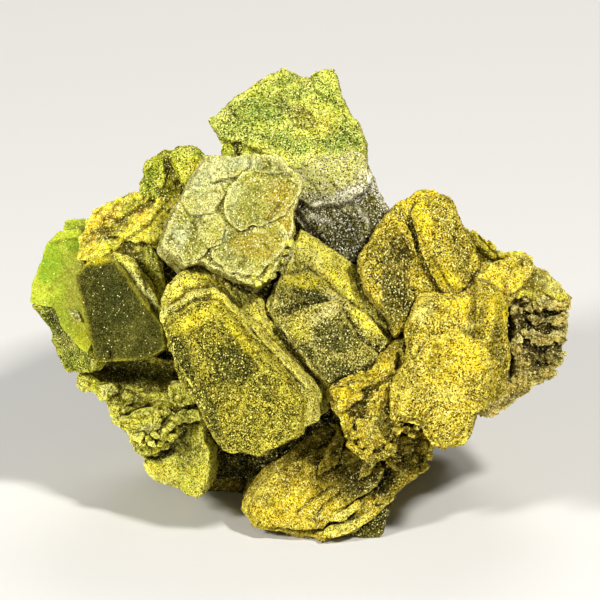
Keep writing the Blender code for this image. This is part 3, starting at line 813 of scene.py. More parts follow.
    def layers(self, deep: np.ndarray, spots: np.ndarray) -> tuple[np.ndarray, np.ndarray]:
        """Growth layers on the sides.

        Args:
            deep: millimetres behind the face, shape (rows, columns).
            spots: places of the grid's points, shape (rows, columns, 3).

        Returns:
            How far each point stands out and a mask of the dark lines between layers. The wavering
            depth, over the layer's thickness, is cut to whole numbers, each with its own random height.
        """
        waver = self.noise(spots, 6.0, 2, Random.BEND) * 0.9
        count = (deep + waver) / self.texture.layer_thickness
        whole = np.floor(count)
        rest = count - whole
        cells = np.stack([whole, np.zeros_like(whole), np.zeros_like(whole)], axis=-1)
        own = hashed(cells, self.seed + Random.LAYER)
        following = hashed(cells + np.array([1.0, 0.0, 0.0]), self.seed + Random.LAYER)
        stand = own + (following - own) * smooth_step(0.82, 1.0, rest)
        # The lines between layers are darkened, partly as painted shade in the steps between them.
        seam = bell(rest - 0.93, 0.09)
        return (stand - 0.5) * 2.0 * self.texture.layer, seam * smooth_step(0.2, 0.6, deep)

    def build(self) -> Shell:
        """Work out the whole closed surface.

        Returns:
            The shell. A point is its row's share of the way from the middle to the rim, on the plane
            plus the relief, moved along the sweep behind the face, out and in with the ledges and
            layers, and then along its normal by the texture's noise.
        """
        middle = centre(self.outline)
        spoke = self.rim() - middle
        radius = np.linalg.norm(spoke, axis=1)
        unit = spoke / radius[:, None]
        share, inset, along = self.rows()
        width = np.interp(along, *zip(*self.ledges))
        far = share[:, None] * (radius - inset[:, None]) * width[:, None]
        places = middle + unit * far[..., None]
        deep = np.broadcast_to((along * float(np.linalg.norm(self.sweep)))[:, None], far.shape)
        bounded = middle + unit * np.minimum(far, radius)[..., None]
        height, edge, hollow = self.relief(bounded)
        step, step_edge, step_foot = self.terraces(bounded)
        # Step edges add to the painted highlight and step feet to the painted shade.
        edge = np.maximum(edge, 0.6 * step_edge) * fade(deep, 0.5)
        hollow = np.maximum(hollow, 0.6 * step_foot) * fade(deep, 1.2)
        out = self.plane(places) + (height + step) * fade(deep, 4.0) + along[:, None] * self.sweep[2]
        shifted = places + along[:, None, None] * self.sweep[:2]
        grid = np.concatenate([shifted, out[..., None]], axis=-1)
        stand, seam = self.layers(deep, grid)
        side = smooth_step(0.0, 0.5, deep)
        grid += np.insert(unit, 2, 0.0, axis=-1) * (stand * side * (share >= 0.99)[:, None])[..., None]
        from_rim = np.where((along <= 0.0)[:, None], radius - far, 0.35 * deep)
        grid, rough = self.roughen(grid, from_rim)
        # A painted highlight along the face's rim; painted shade along the lines between layers and at broken lumps'
        # borders.
        edge = np.maximum(edge, bell(from_rim, self.texture.rim_highlight_width))
        hollow = np.maximum(hollow, np.maximum(seam * side * 0.8, smooth_step(-0.25, -0.9, rough) * 0.5))
        form = np.stack([edge, side, hollow], axis=-1)
        return self.close(grid, self.patch_masks(places, grid), form)

    def roughen(self, grid: np.ndarray, from_rim: np.ndarray) -> tuple[np.ndarray, np.ndarray]:
        """Move every point along its normal by swells, grit and broken lumps.

        Args:
            grid: places of the grid's points, shape (rows, columns, 3).
            from_rim: how far each point is from the face's rim.

        Returns:
            The moved grid and the fine part of the height, about -1 to 1. The normal is the cross
            product of the differences down the rows and round the columns.
        """
        around = np.roll(grid, -1, axis=1) - np.roll(grid, 1, axis=1)
        down = np.gradient(grid, axis=0)
        normal = np.cross(down, around)
        normal /= np.maximum(np.linalg.norm(normal, axis=-1, keepdims=True), 1e-9)
        texture = self.texture
        fine = self.noise(grid, texture.grit_size, 3, Random.GRIT)
        height = texture.swell * self.noise(grid, texture.swell_size, 2, Random.SWELL) + texture.grit * fine
        amount = texture.crumble + texture.rim_crumble * bell(from_rim, texture.rim_crumble_width)
        border, own = lumps(grid, texture.crumble_size, self.seed + Random.CRUMBLE)
        height += amount * (own - 0.6) - amount * 0.5 * bell(border, 0.1)
        broken = np.clip(amount / 0.3, 0.0, 1.0) * smooth_step(0.2, 0.0, border)
        height += texture.facet * self.noise(grid, 0.34, 1, Random.FACET)
        return grid + normal * height[..., None], fine - 1.6 * broken

    def patch_masks(self, places: np.ndarray, grid: np.ndarray) -> np.ndarray:
        """Work out the tint masks.

        Args:
            places: right and up on the face, shape (rows, columns, 2).
            grid: places of the grid's points, for the noise that wavers the borders.

        Returns:
            One mask a tint, shape (rows, columns, 3): the strongest of its patches, each a smooth step
            of the distance from its middle over its half width and height.
        """
        masks = np.zeros(places.shape[:-1] + (3,))
        waver = self.noise(grid, 2.4, 3, Random.PATCH)
        for patch in self.patches:
            turn = math.radians(patch.turn)
            offset = places - (patch.right, patch.up)
            first = offset[..., 0] * math.cos(turn) + offset[..., 1] * math.sin(turn)
            second = offset[..., 1] * math.cos(turn) - offset[..., 0] * math.sin(turn)
            far = np.hypot(first / patch.wide, second / patch.high) + 0.35 * waver
            mask = patch.strength * smooth_step(1.25, 0.45, far)
            channel = patch.tint.value
            masks[..., channel] = np.maximum(masks[..., channel], mask)
        return masks

    def close(self, grid: np.ndarray, patches: np.ndarray, form: np.ndarray) -> Shell:
        """Close the grid with a pole at each end and turn it to the world.

        Args:
            grid: places of the grid's points, shape (rows, columns, 3).
            patches: their tint masks.
            form: their rim, wall and hollow masks.

        Returns:
            The closed shell; points below the resting surface are brought up to it.
        """

        def with_poles(values: np.ndarray) -> np.ndarray:
            """The values of the grid's points and of its two poles, one point a row."""
            return np.vstack([values.reshape(-1, 3), values[0].mean(axis=0), values[-1].mean(axis=0)])

        rows, columns = grid.shape[:2]
        world = self.view.to_world(with_poles(grid))
        world[:, 2] = np.maximum(world[:, 2], 0.0)
        index = np.arange(rows * columns).reshape(rows, columns)
        right = np.roll(index, -1, axis=1)
        quads = np.stack([index[:-1], index[1:], right[1:], right[:-1]], axis=-1).reshape(-1, 4)
        first = np.full(columns, rows * columns)
        front = np.stack([first, index[0], right[0]], axis=-1)
        back = np.stack([index[-1], first + 1, right[-1]], axis=-1)
        triangles = np.vstack([front, back])
        return Shell(world * MM, quads, triangles, with_poles(patches), with_poles(form), self.finish)


def grown(
    outline: Outline, depth: float, slope: tuple[float, float], sweep: Triple, finish: StoneFinish, ledges: Outline,
    texture: Texture, seed: int, *marks: Scale | Groove | Facet | Fibres | Patch, spacing: float = 0.2,
) -> Crystal:
    """A crystal of the show side.

    Args:
        outline, depth, slope, sweep, finish, ledges, texture, seed, spacing: as Crystal has them.
        marks: the scales, grooves, facets, fibres and patches of its face.

    Returns:
        The crystal, its marks sorted by kind.
    """
    scales, grooves, facets, fibres, patches = (
        tuple(mark for mark in marks if isinstance(mark, kind)) for kind in (Scale, Groove, Facet, Fibres, Patch)
    )
    return Crystal(
        outline, depth, slope, sweep, finish, ledges, texture, scales, grooves, facets,
        fibres[0] if fibres else None, patches, spacing, seed=seed,
    )


@dataclass
class Creases:
    """How much solid lies round each place, from blurring a grid that says where the crystals are.

    cell is the grid's step and reach is the blur's spread.
    """

    low: Triple = (-33.0, -25.0, -3.0)
    high: Triple = (33.0, 27.0, 49.0)
    cell: float = 0.34
    reach: float = 0.6
    solid: np.ndarray = field(init=False)

    def __post_init__(self) -> None:
        """Start with an empty grid."""
        shape = [int((end - start) / self.cell) for start, end in zip(self.low, self.high)]
        self.solid = np.zeros(shape, np.float32)

    def centres(self, start: np.ndarray, stop: np.ndarray) -> np.ndarray:
        """The middles of the grid's cells from start to stop."""
        steps = [np.arange(start[k], stop[k]) for k in range(3)]
        index = np.stack(np.meshgrid(*steps, indexing="ij"), axis=-1)
        return (index + 0.5) * self.cell + self.low

    def fill(self, crystal: Crystal) -> None:
        """Mark the cells inside a crystal, among those of the box round its two ends.

        Args:
            crystal: whose inside it is.
        """
        corners = np.array(crystal.outline)
        face = np.column_stack([corners, crystal.plane(corners)])
        ends = crystal.view.to_world(np.vstack([face, face + np.array(crystal.sweep)]))
        start = np.floor((ends.min(axis=0) - self.low) / self.cell).astype(int)
        stop = np.ceil((ends.max(axis=0) - self.low) / self.cell).astype(int)
        start = np.clip(start, 0, self.solid.shape)
        stop = np.clip(stop, start + 1, self.solid.shape)
        block = tuple(slice(first, last) for first, last in zip(start, stop))
        self.solid[block] = np.maximum(self.solid[block], crystal.holds(self.centres(start, stop)))

    def fill_ball(self, middle: Triple, radii: Triple) -> None:
        """Mark the cells inside an ellipsoid of the show view.

        Args:
            middle: its middle, right, up and out.
            radii: its half sizes.
        """
        local = SHOW_VIEW.to_view(self.centres(np.zeros(3, int), np.array(self.solid.shape)))
        far = np.linalg.norm((local - middle) / radii, axis=-1)
        self.solid = np.maximum(self.solid, (far < 1.0).astype(np.float32))

    def blur(self) -> None:
        """Replace the grid by the share of solid round each cell, by a bell curve in frequencies."""
        steps = [np.fft.fftfreq(count) for count in self.solid.shape[:2]]
        steps.append(np.fft.rfftfreq(self.solid.shape[2]))
        spread = self.reach / self.cell
        bells = [np.exp(-2.0 * (math.pi * spread * step) ** 2) for step in steps]
        waves = np.fft.rfftn(self.solid)
        waves *= bells[0][:, None, None] * bells[1][None, :, None] * bells[2][None, None, :]
        self.solid = np.fft.irfftn(waves, s=self.solid.shape).astype(np.float32)

    def shade(self, shell: Shell) -> Shell:
        """Paint shade into a shell's creases and a highlight onto its free edges.

        Args:
            shell: the shell, whose masks are changed.

        Returns:
            The same shell. Round a flat place half is solid; the hollow mask rises from a little over
            half, and the bright mask from a little under.
        """
        place = (shell.vertices / MM - self.low) / self.cell - 0.5
        corner = np.clip(np.floor(place).astype(int), 0, np.array(self.solid.shape) - 2)
        part = np.clip(place - corner, 0.0, 1.0)
        share = np.zeros(len(place))
        for step, weight in cell_corners(part):
            share += weight * self.solid[tuple((corner + step).T)]
        rim, hollow = shell.form[:, 0], shell.form[:, 2]
        shell.form[:, 0] = np.maximum(rim * smooth_step(0.66, 0.54, share), 0.9 * smooth_step(0.36, 0.18, share))
        shell.form[:, 2] = np.maximum(hollow * smooth_step(0.2, 0.5, share), smooth_step(0.53, 0.72, share))
        return shell


@dataclass
class Piece:
    """One named piece of the specimen: shells joined in one mesh, dressed and put on the frame."""

    name: str
    shells: list[Shell]

    def place(self, shader: StoneShader) -> bpy.types.Object:
        """Make the object, which rides on the specimen's body and stands for its node.

        Args:
            shader: where the finishes' materials come from.

        Returns:
            The object, at the origin.
        """
        starts = np.cumsum([0] + [len(shell.vertices) for shell in self.shells])
        quads, triangles = (
            np.vstack([getattr(shell, faces) + start for shell, start in zip(self.shells, starts)])
            for faces in ("quads", "triangles")
        )
        vertices = np.vstack([shell.vertices for shell in self.shells])
        loops = np.concatenate([quads.ravel(), triangles.ravel()])
        sizes = np.repeat([4, 3], [len(quads), len(triangles)])
        finishes = {shell.finish.name: shell.finish for shell in self.shells}
        slots = [list(finishes).index(shell.finish.name) for shell in self.shells]
        worn = [
            np.repeat(slots, [len(getattr(shell, faces)) for shell in self.shells])
            for faces in ("quads", "triangles")
        ]
        mesh = bpy.data.meshes.new(self.name)
        mesh.vertices.add(len(vertices))
        mesh.vertices.foreach_set("co", vertices.astype(np.float32).ravel())
        mesh.loops.add(len(loops))
        mesh.loops.foreach_set("vertex_index", loops.astype(np.int32))
        mesh.polygons.add(len(sizes))
        mesh.polygons.foreach_set("loop_start", (np.cumsum(sizes) - sizes).astype(np.int32))
        mesh.polygons.foreach_set("loop_total", sizes.astype(np.int32))
        mesh.update(calc_edges=True)
        mesh.polygons.foreach_set("use_smooth", np.zeros(len(sizes), bool))
        for finish in finishes.values():
            mesh.materials.append(shader.material(finish))
        mesh.polygons.foreach_set("material_index", np.concatenate(worn).astype(np.int32))
        for label in ("patches", "form"):
            values = np.vstack([getattr(shell, label) for shell in self.shells])
            attribute = mesh.attributes.new(label, "FLOAT_VECTOR", "POINT")
            attribute.data.foreach_set("vector", values.astype(np.float32).ravel())
        mesh.validate()
        made = bpy.data.objects.new(self.name, mesh)
        bpy.context.scene.collection.objects.link(made)
        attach(made, "root")
        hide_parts(NODE)
        LOG.info("%s: %d vertices, %d triangles", self.name, len(vertices), 2 * len(quads) + len(triangles))
        return made


# ---- the finishes
BRIGHT_GREEN = StoneFinish(
    "bright_green_stone", "d0d648", "869e34", "fcfc82", "547a2a", "e2d632", "d6d674", "827a18", "e4e860",
    grain_contrast=1.1)
GREY_GLINT = StoneFinish(
    "grey_glinting_stone", "706a2c", "3a3618", "d6d078", "343214", "c4c43a", "fffff4", "78702c", "dedaa0",
    glint="fffeec", sparkle=0.6, fleck_share=0.3, roughness=0.45, shine=0.35)
PALE_SCALE = StoneFinish(
    "pale_scaly_stone", "a2a03c", "78782e", "dad678", "606424", "a8921e", "c0c892", "96882c", "f6f29c",
    glint="fffcd2", grain_contrast=0.75, edge_highlight_share=0.85, sparkle=0.32)
DARK_OLIVE = StoneFinish(
    "dark_olive_stone", "404016", "2e3012", "8c8638", "32381a", "cebe24", "686a2a", "706c1e", "d8d23c",
    grain_contrast=0.7, fleck_share=0.26, sparkle=0.05)
YELLOW_CRUST = StoneFinish(
    "yellow_crust", "faec28", "e2d024", "fffc82", "929626", "fac41a", "faf696", "ded024", "fef65a",
    grain_contrast=0.75, sparkle=0.5)
LIME = StoneFinish(
    "lime_stone", "b0bc38", "90a42c", "e8ec6e", "80a024", "beb826", "a8a63a", "706822", "d8e03e",
    grain_contrast=0.42, sparkle=0.06)
YELLOW_GREEN = StoneFinish(
    "yellow_green_stone", "b0b82c", "849226", "e4e654", "687e24", "ceba22", "d0d468", "9a9224")
YELLOW_LUMP = StoneFinish(
    "yellow_lump_stone", "f6f04c", "ceca3e", "fffc8c", "a0a83a", "f4e038", "fafaaa", "ded642", "fffa82", sparkle=0.5,
    grain_contrast=0.85)
OLIVE = StoneFinish(
    "olive_stone", "7c7422", "52501c", "e2d44a", "2e341a", "dece2a", "c4c264", "beb034", "f6ec58", glint="fff278",
    fleck_share=0.42, sparkle=0.35)
LIGHT_OLIVE = StoneFinish(
    "light_olive_stone", "d6cc42", "a49a32", "fff882", "3e421c", "f8ec4c", "f0ec96", "e8da54", "fff882")
KHAKI = StoneFinish(
    "khaki_stone", "706824", "48461c", "dcd26e", "343616", "ecde3c", "dcd48c", "98882a", "eee264", glint="fff8a0",
    fleck_share=0.4, sparkle=0.4)
KHAKI_GOLD = StoneFinish(
    "khaki_gold_stone", "9c861e", "6c5e1a", "f6e048", "3a3614", "eed624", "ded064", "96821e", "f0dc42",
    fleck_share=0.46, edge_highlight_share=0.3)
GOLDEN = StoneFinish(
    "golden_stone", "c4a816", "8c7412", "fff060", "706218", "f4d414", "f0e67c", "c4a61e", "fae84a", fleck_share=0.44,
    grain_contrast=1.1)
TAN_RIBS = StoneFinish(
    "tan_ribbed_stone", "ecce64", "aa8a3c", "fff6a6", "463618", "fcf054", "fff2aa", "c6a846", "fff696",
    grain_contrast=0.8, edge_highlight_share=0.6)
YELLOW_BROWN = StoneFinish(
    "yellow_brown_stone", "ccb228", "9c8224", "f4e250", "3c3416", "e8cc1e", "c4c260", "927c26", "e2d254",
    grain_contrast=0.9)
SHADED = StoneFinish("shaded_stone", "504c1c", "323013", "7e762e", "2e3215", wall="464017", rim="6e6626")

SUGARY = Texture(swell=0.07, chip=0.28)
SMOOTH = Texture(swell=0.12, grit=0.06, facet=0.04, terrace=0.05, rim_crumble=0.12, layer=0.16, chip=0.16)
CRUSTY = Texture(swell=0.25, grit=0.14, facet=0.12, terrace=0.2, terrace_size=3.5, crumble=0.3, chip=0.3)
BROKEN = Texture(swell=0.22, grit=0.12, facet=0.12, terrace=0.1, crumble=0.5, crumble_size=1.2, chip=0.35)
PLATE = Texture(
    swell=0.08, grit=0.07, facet=0.08, terrace=0.07, rim_crumble=0.15, layer=0.1, layer_thickness=0.5, chip=0.35)
CRUMB = Texture(
    swell=0.1, swell_size=0.9, grit=0.07, facet=0.14, terrace=0.0, rim_crumble=0.0, layer=0.06, chip=0.05,
    rim_highlight_width=0.12, round=0.02)
JAGGED = Texture(swell=0.3, swell_size=2.4, grit=0.08, facet=0.1, terrace=0.2, terrace_size=3.0, chip=0.3)
BLOCKY = Texture(
    swell=0.2, swell_size=2.4, grit=0.12, facet=0.12, terrace=0.2, terrace_size=3.0, crumble=0.2, crumble_size=1.4,
    chip=0.3)
RIBBED = Texture(
    swell=0.32, swell_size=1.3, grit=0.12, facet=0.16, terrace=0.2, terrace_size=1.5, crumble=0.22, crumble_size=0.8,
    rim_crumble=0.3, layer=0.2, chip=0.3)
GLASSY = Texture(swell=0.1, grit=0.05, facet=0.04, terrace=0.0, rim_crumble=0.12, layer=0.2, chip=0.14)


class Growth:
    """A group of crystals grown together, made as one piece."""

    name: str

    def crystals(self) -> Iterator[Crystal]:
        """The crystals that the piece is made of."""
        raise NotImplementedError

    def extra(self) -> list[Shell]:
        """Shells that aren't crystals."""
        return []


def crumbs(
    middles: Outline, depth: float, slope: tuple[float, float], size: float, finish: StoneFinish, seed: int
) -> Iterator[Crystal]:
    """Small angular crumbs about these places.

    Args:
        middles: where they are, right and up.
        depth: how far out a crumb at the first place stands.
        slope: how that changes per millimetre to the right and upwards.
        size: their mean radius.
        finish: their colours.
        seed: the start of their random numbers.

    Yields:
        One crystal a crumb: five corners at uneven distances and angles, leaning its own way and with a
        facet cut across it.
    """
    chance = random.Random(seed)
    for index, (across, height) in enumerate(middles):

        def spot(far: float, turn: float, squash: float = 1.0) -> tuple[float, float]:
            """The place this far from the crumb's middle, in a direction in radians."""
            return across + far * math.cos(turn), height + squash * far * math.sin(turn)

        angles = [math.radians(72.0 * corner + chance.uniform(-24.0, 24.0)) for corner in range(5)]
        outline = tuple(spot(size * chance.uniform(0.6, 1.35), angle, 0.85) for angle in angles)
        out = depth + slope[0] * (across - middles[0][0]) + slope[1] * (height - middles[0][1])
        lean = (chance.uniform(-0.9, 0.9), chance.uniform(-1.0, 0.3))
        turn = chance.uniform(0.0, 2.0 * math.pi)
        facet = Facet(spot(0.5 * size, turn + 2.4), spot(0.5 * size, turn), 1.1, 0.0)
        out += chance.uniform(-0.3, 0.3)
        sweep = (0.0, 0.3, -3.0)
        yield grown(outline, out, lean, sweep, finish, PLAIN, CRUMB, seed + 5 * index, facet, spacing=0.12)


# ---- crystals of the show side
@dataclass
class TopCrystal(Growth):
    """The tall crystal at the top: a bright face tipped up over a grey, glinting front."""

    name: str = "top_crystal"
    face_depth: float = -1.0
    front_depth: float = 3.0

    def crystals(self) -> Iterator[Crystal]:
        """Its face, its front and the small block at its foot."""
        face = line(
            -10, 20.1, -8.4, 21.4, -7.7, 22.3, -5.3, 23.8, -3.8, 25, -1.8, 25.9, -0.1, 25, 1, 24.8, 1.7, 25.6,
            3.7, 25.7, 4.3, 23, 5.7, 20.4, 6.3, 20, 7, 17.8, 7.1, 16, 1.4, 14.9, -1.3, 14.4, -2.2, 15.8, -6.8, 17.6,
            -8.8, 18.2)
        front = line(
            -1.3, 14.8, -0.2, 14.3, 0.8, 15.4, 2, 15.1, 3, 16.2, 4.4, 15.5, 5.6, 16.7, 7, 16.2, 7.9, 14.1, 9.9, 10.1,
            9.6, 9.1, 6.4, 3.2, 1.4, 6.4, -1, 10)
        upper_plate = line(
            -1.6, 15.2, 7.4, 17, 8.2, 14, 7.2, 12, 6, 11.3, 4.4, 10.3, 2.8, 10.5, 1.4, 10, 0.2, 10.9, -1.4, 11.6)
        foot = line(-9.2, 15.2, -8.4, 17.6, -6.6, 17.7, -3.4, 16.2, -3.2, 14.8, -6, 14)
        yield grown(
            face, self.face_depth, (0.1, -0.75), (1, -2.2, -13), BRIGHT_GREEN, SHARP, SUGARY, 3,
            Scale(line(0.9, 25.9, 1.6, 23.4, 3.2, 22.4, 5, 22, 4.4, 26.4), 0.35),
            Groove(line(-8.4, 17.6, -6, 16.9, -3.2, 15.6), 0.5, 0.2), Groove(line(-8, 21.8, -7, 20.2), 0.25, 0.2),
            Groove(line(4.6, 19, 5.6, 17.6, 7, 17), 0.25, 0.25), green(-4.6, 21.2, 4.6, 2.4, 0.7, 20),
            green(4.6, 17.6, 2.8, 1.7, 0.75), pale(2.6, 15.4, 5.4, 0.9, 0.8), green(-1.8, 17.4, 3, 1.3, 0.6, -15),
            green(-1.6, 24.6, 2.6, 0.9, 0.6, 25), gold(2.2, 19.6, 2.6, 1.6, 0.5), pale(-8.6, 20.9, 1.2, 1.6, 0.5, 40))
        yield grown(
            front, self.front_depth, (-0.12, 0.04), (-2, -1, -15), GREY_GLINT, SHARP, SUGARY, 5,
            Scale(upper_plate, 0.75, (0, 0.05)), Groove(line(-0.6, 9.8, 1.2, 7.6, 2.4, 6.2), 0.7, 0.3),
            # The pale patches on the front are painted white glints.
            gold(2.4, 14.2, 4.8, 2.6, 1, 10), gold(6.4, 15.4, 2.6, 1.6, 1), pale(2.4, 10.6, 1.6, 0.4, 1, 8),
            pale(5.8, 11.7, 2.6, 0.9, 1, 20), pale(2.2, 9, 1.4, 0.35, 0.9, -15), pale(0.6, 8.6, 2, 0.25, 0.9, -52),
            pale(8.4, 12.4, 0.6, 3, 0.9, 30), pale(7, 9.4, 0.4, 1.6, 0.6, 35), green(4.6, 6.8, 3.8, 2.6, 0.9, 20))
        yield grown(
            foot, 1, (0.2, -0.3), (1, -1, -8), YELLOW_GREEN, PLAIN, SUGARY, 7,
            Groove(line(-7.4, 17.6, -6.4, 15.2), 0.6, 0.22))


@dataclass
class ScalyCrystal(Growth):
    """The crystal over the middle, covered with overlapping scales and crumbling at its lower right."""

    name: str = "scaly_crystal"
    depth: float = 11.0

    def crystals(self) -> Iterator[Crystal]:
        """Its body, three big scales and the crumbs under its edge."""
        body = line(
            -10.4, 15.9, -4.9, 16, -2.2, 15.8, -1.3, 14.6, 0.1, 13.6, 0.1, 11.7, -0.7, 10, -0.7, 8, -1.2, 6.7,
            -2.3, 4.1, -3.3, 2.8, -4.6, 1.7, -7.8, 2.8, -10.9, 4.3, -12.7, 3.6, -15, 6.2, -14.9, 7.4, -14.2, 9.3,
            -12.7, 11.6)
        right = line(
            -6.2, 14.2, -8, 12.4, -8.5, 10.3, -7.9, 8.6, -6.6, 7.5, -5.4, 8.3, -4.2, 8, -1.7, 9.4, -0.2, 11.7,
            -1, 14.2, -3.6, 15.2)
        low = line(-9.2, 9.6, -9.8, 4.9, -7.8, 3, -4.6, 2.6, -2.3, 4.9, -1.3, 7.4, -3, 9.2, -6.7, 9.4)
        left = line(-14.8, 6.4, -12.6, 4, -10.6, 4.8, -9.9, 6.6, -10.2, 9.6, -11.6, 11.6, -13.4, 10.6, -14.4, 8.6)
        blocks = (
            line(-5.8, 3.6, -3.2, 3.9, -2.9, 2.6, -4.2, 1.7, -5.6, 2),
            line(-3.4, 5.6, -1.2, 6.2, -1, 4.6, -2, 3, -3.2, 3.6))
        broken = line(
            -5.9, 2.5, -5.2, 2, -4.5, 1.9, -4, 2.3, -3.3, 2.6, -2.9, 3.5, -2.2, 4.2, -2.7, 4.9, -1.6, 5.3, -1.3, 6.3,
            -3.9, 3.1, -4.9, 2.7, -3.5, 4.2, -2, 6)
        gold_right = (gold(-1.8, 8.4, 2.4, 5, 0.9, 10), gold(-5.2, 4.6, 3, 1.6, 0.6))
        yield grown(
            body, self.depth, (0.1, -0.3), (-0.8, -1.5, -14), PALE_SCALE, LAYERED, SUGARY, 11,
            Scale(line(-13.4, 11.4, -12, 9.2, -9.6, 9.6, -8.2, 11.8, -9.2, 13.8, -12, 13.4), 0.32, (0.03, -0.08)),
            Scale(line(-10.6, 15.6, -9.6, 13, -6.8, 13.6, -5.6, 15.2, -6.4, 16.6), 0.3, (0, -0.1)),
            Scale(line(-5.6, 16.4, -5, 14, -1, 13.8, 1, 15.6), 0.3, (0, -0.1)),
            Scale(line(-11.4, 9.4, -11.2, 7, -10.2, 5.6, -8.6, 6.2, -8.2, 8.6, -9.4, 10.2), 0.42, (0, -0.06)),
            # The two pale patches at the top left are a painted sheen.
            *gold_right, pale(-10.6, 13.6, 3, 2, 0.9, 30), pale(-7.6, 15.2, 3.4, 0.9, 0.8),
            green(-3.4, 14.6, 3, 1.2, 0.7), green(-11.2, 9, 2.2, 1.8, 0.4))
        yield grown(
            right, 10.8, (0.1, -0.39), (-0.1, 0.1, -2.4), PALE_SCALE, THIN, PLATE, 13,
            Groove(line(-3.6, 8.4, -2.2, 10.6), 0.2, 0.25), *gold_right, green(-5.4, 10, 1, 1.6, 0.5),
            pale(-7.2, 11.6, 0.8, 1.6, 0.5))
        yield grown(
            low, 12, (0.1, -0.37), (-0.1, 0.3, -2.4), PALE_SCALE, THIN, PLATE, 17, gold(-4.4, 6, 3.4, 1.8, 0.8),
            green(-6.9, 5.2, 2, 2.2, 0.6), pale(-8.8, 7.2, 0.9, 1.3, 0.6))
        yield grown(
            left, 10.9, (0.1, -0.35), (0.3, 0, -2), PALE_SCALE, THIN, PLATE, 19, pale(-13.6, 6.6, 1.2, 2.2, 0.9, -30),
            green(-11.4, 7.6, 1.6, 2.2, 0.4))
        for index, block in enumerate(blocks):
            yield grown(
                block, 10.6 - 0.3 * index, (0, -0.3), (0.2 - 0.4 * index, 0.2, -5), PALE_SCALE, PLAIN, BROKEN,
                23 + index, gold(-2.6, 4.6, 1.8, 1.6, 0.7), spacing=0.14)
        yield from crumbs(broken, 12.8, (0.05, -0.28), 0.5, YELLOW_LUMP, 401)


@dataclass
class LeftBlock(Growth):
    """The left block: a dark glassy front with glowing edges under a thick yellow crust."""

    name: str = "left_block"
    front_depth: float = 7.0

    def crystals(self) -> Iterator[Crystal]:
        """Its front, crust, right ridge and the wall of the recess beside it."""
        front = line(
            -24.9, 2.6, -23, 4.9, -20.6, 4.5, -19.6, 3.2, -17.6, 0.4, -15.2, -3, -14.9, -5.3, -16.8, -6.6,
            -20.6, -6.8, -22.6, -6.9, -23.3, -3.9, -24.3, 0.4)
        crust = line(
            -24.5, 4.4, -24.3, 7, -23, 10.1, -21, 11.2, -18.7, 12.2, -17.2, 11.6, -14.6, 13.9, -13.4, 13.2,
            -13.2, 11.4, -14.7, 8, -16.3, 6.6, -20.2, 6.2, -22.7, 4.3)
        ridge = line(-20.7, 5.2, -18.8, 4.7, -16.8, 1.8, -15.1, -0.8, -14.7, -3.4, -15.2, -3.6, -17.8, 0.4, -20.5, 4)
        recess = line(-20, 6.4, -17.2, 7, -15.6, 4.8, -15.2, 1.8, -15.2, -1.6, -18.6, 2)
        yield grown(
            front, self.front_depth, (0.12, 0.14), (3.6, 3, -13), DARK_OLIVE, SHARP, GLASSY, 29,
            Groove(line(-21, -7.2, -20.9, -5.8), 0.6, 0.16, 0.1), Facet((-19.8, 3.4), (-24.9, 1.4), 0.5, 0),
            # The gold patch along the top edge of the dark front is a painted glow.
            green(-20.6, 0, 2.4, 3.6, 0.7, 20), gold(-22.8, 4.7, 3, 0.9, 0.95, 12), pale(-17.6, -4, 2.6, 2.4, 0.45))
        yield grown(
            crust, 1.4, (-0.05, -1.05), (2, -4, -11), YELLOW_CRUST, PLAIN, CRUSTY, 31,
            Groove(line(-21.6, 7.6, -18.6, 9.6, -16.4, 11.2), 0.7, 0.4),
            Groove(line(-19.6, 6.4, -16.6, 8.4, -14.6, 11.2), 0.5, 0.3),
            Groove(line(-21.4, 6.8, -20, 6.9), 0.6, 0.25), Fibres(0.3, 1.1, 38), gold(-22.3, 9, 2.4, 1.5, 0.6, 35),
            gold(-17.6, 9.4, 1, 0.8, 0.7, 40), gold(-23.2, 6.6, 0.9, 1.7, 0.5), green(-18.6, 10.4, 1.6, 0.8, 0.7, 30),
            green(-20.6, 7.2, 1.4, 0.6, 0.7, 20))
        yield grown(
            ridge, 6.4, (-0.25, -0.1), (1, 0.5, -7), YELLOW_LUMP, PLAIN, SUGARY, 37, Fibres(0.16, 0.7, -52),
            pale(-17.4, 1.4, 0.6, 3.4, 0.7, 35), spacing=0.15)
        yield grown(
            recess, 3.4, (-0.1, 0), (1, 0, -8), YELLOW_LUMP, PLAIN, SUGARY, 41, green(-15.6, 4.6, 1.2, 3.4, 0.6, 15),
            pale(-18.6, 4, 0.8, 2.4, 0.4, 30))


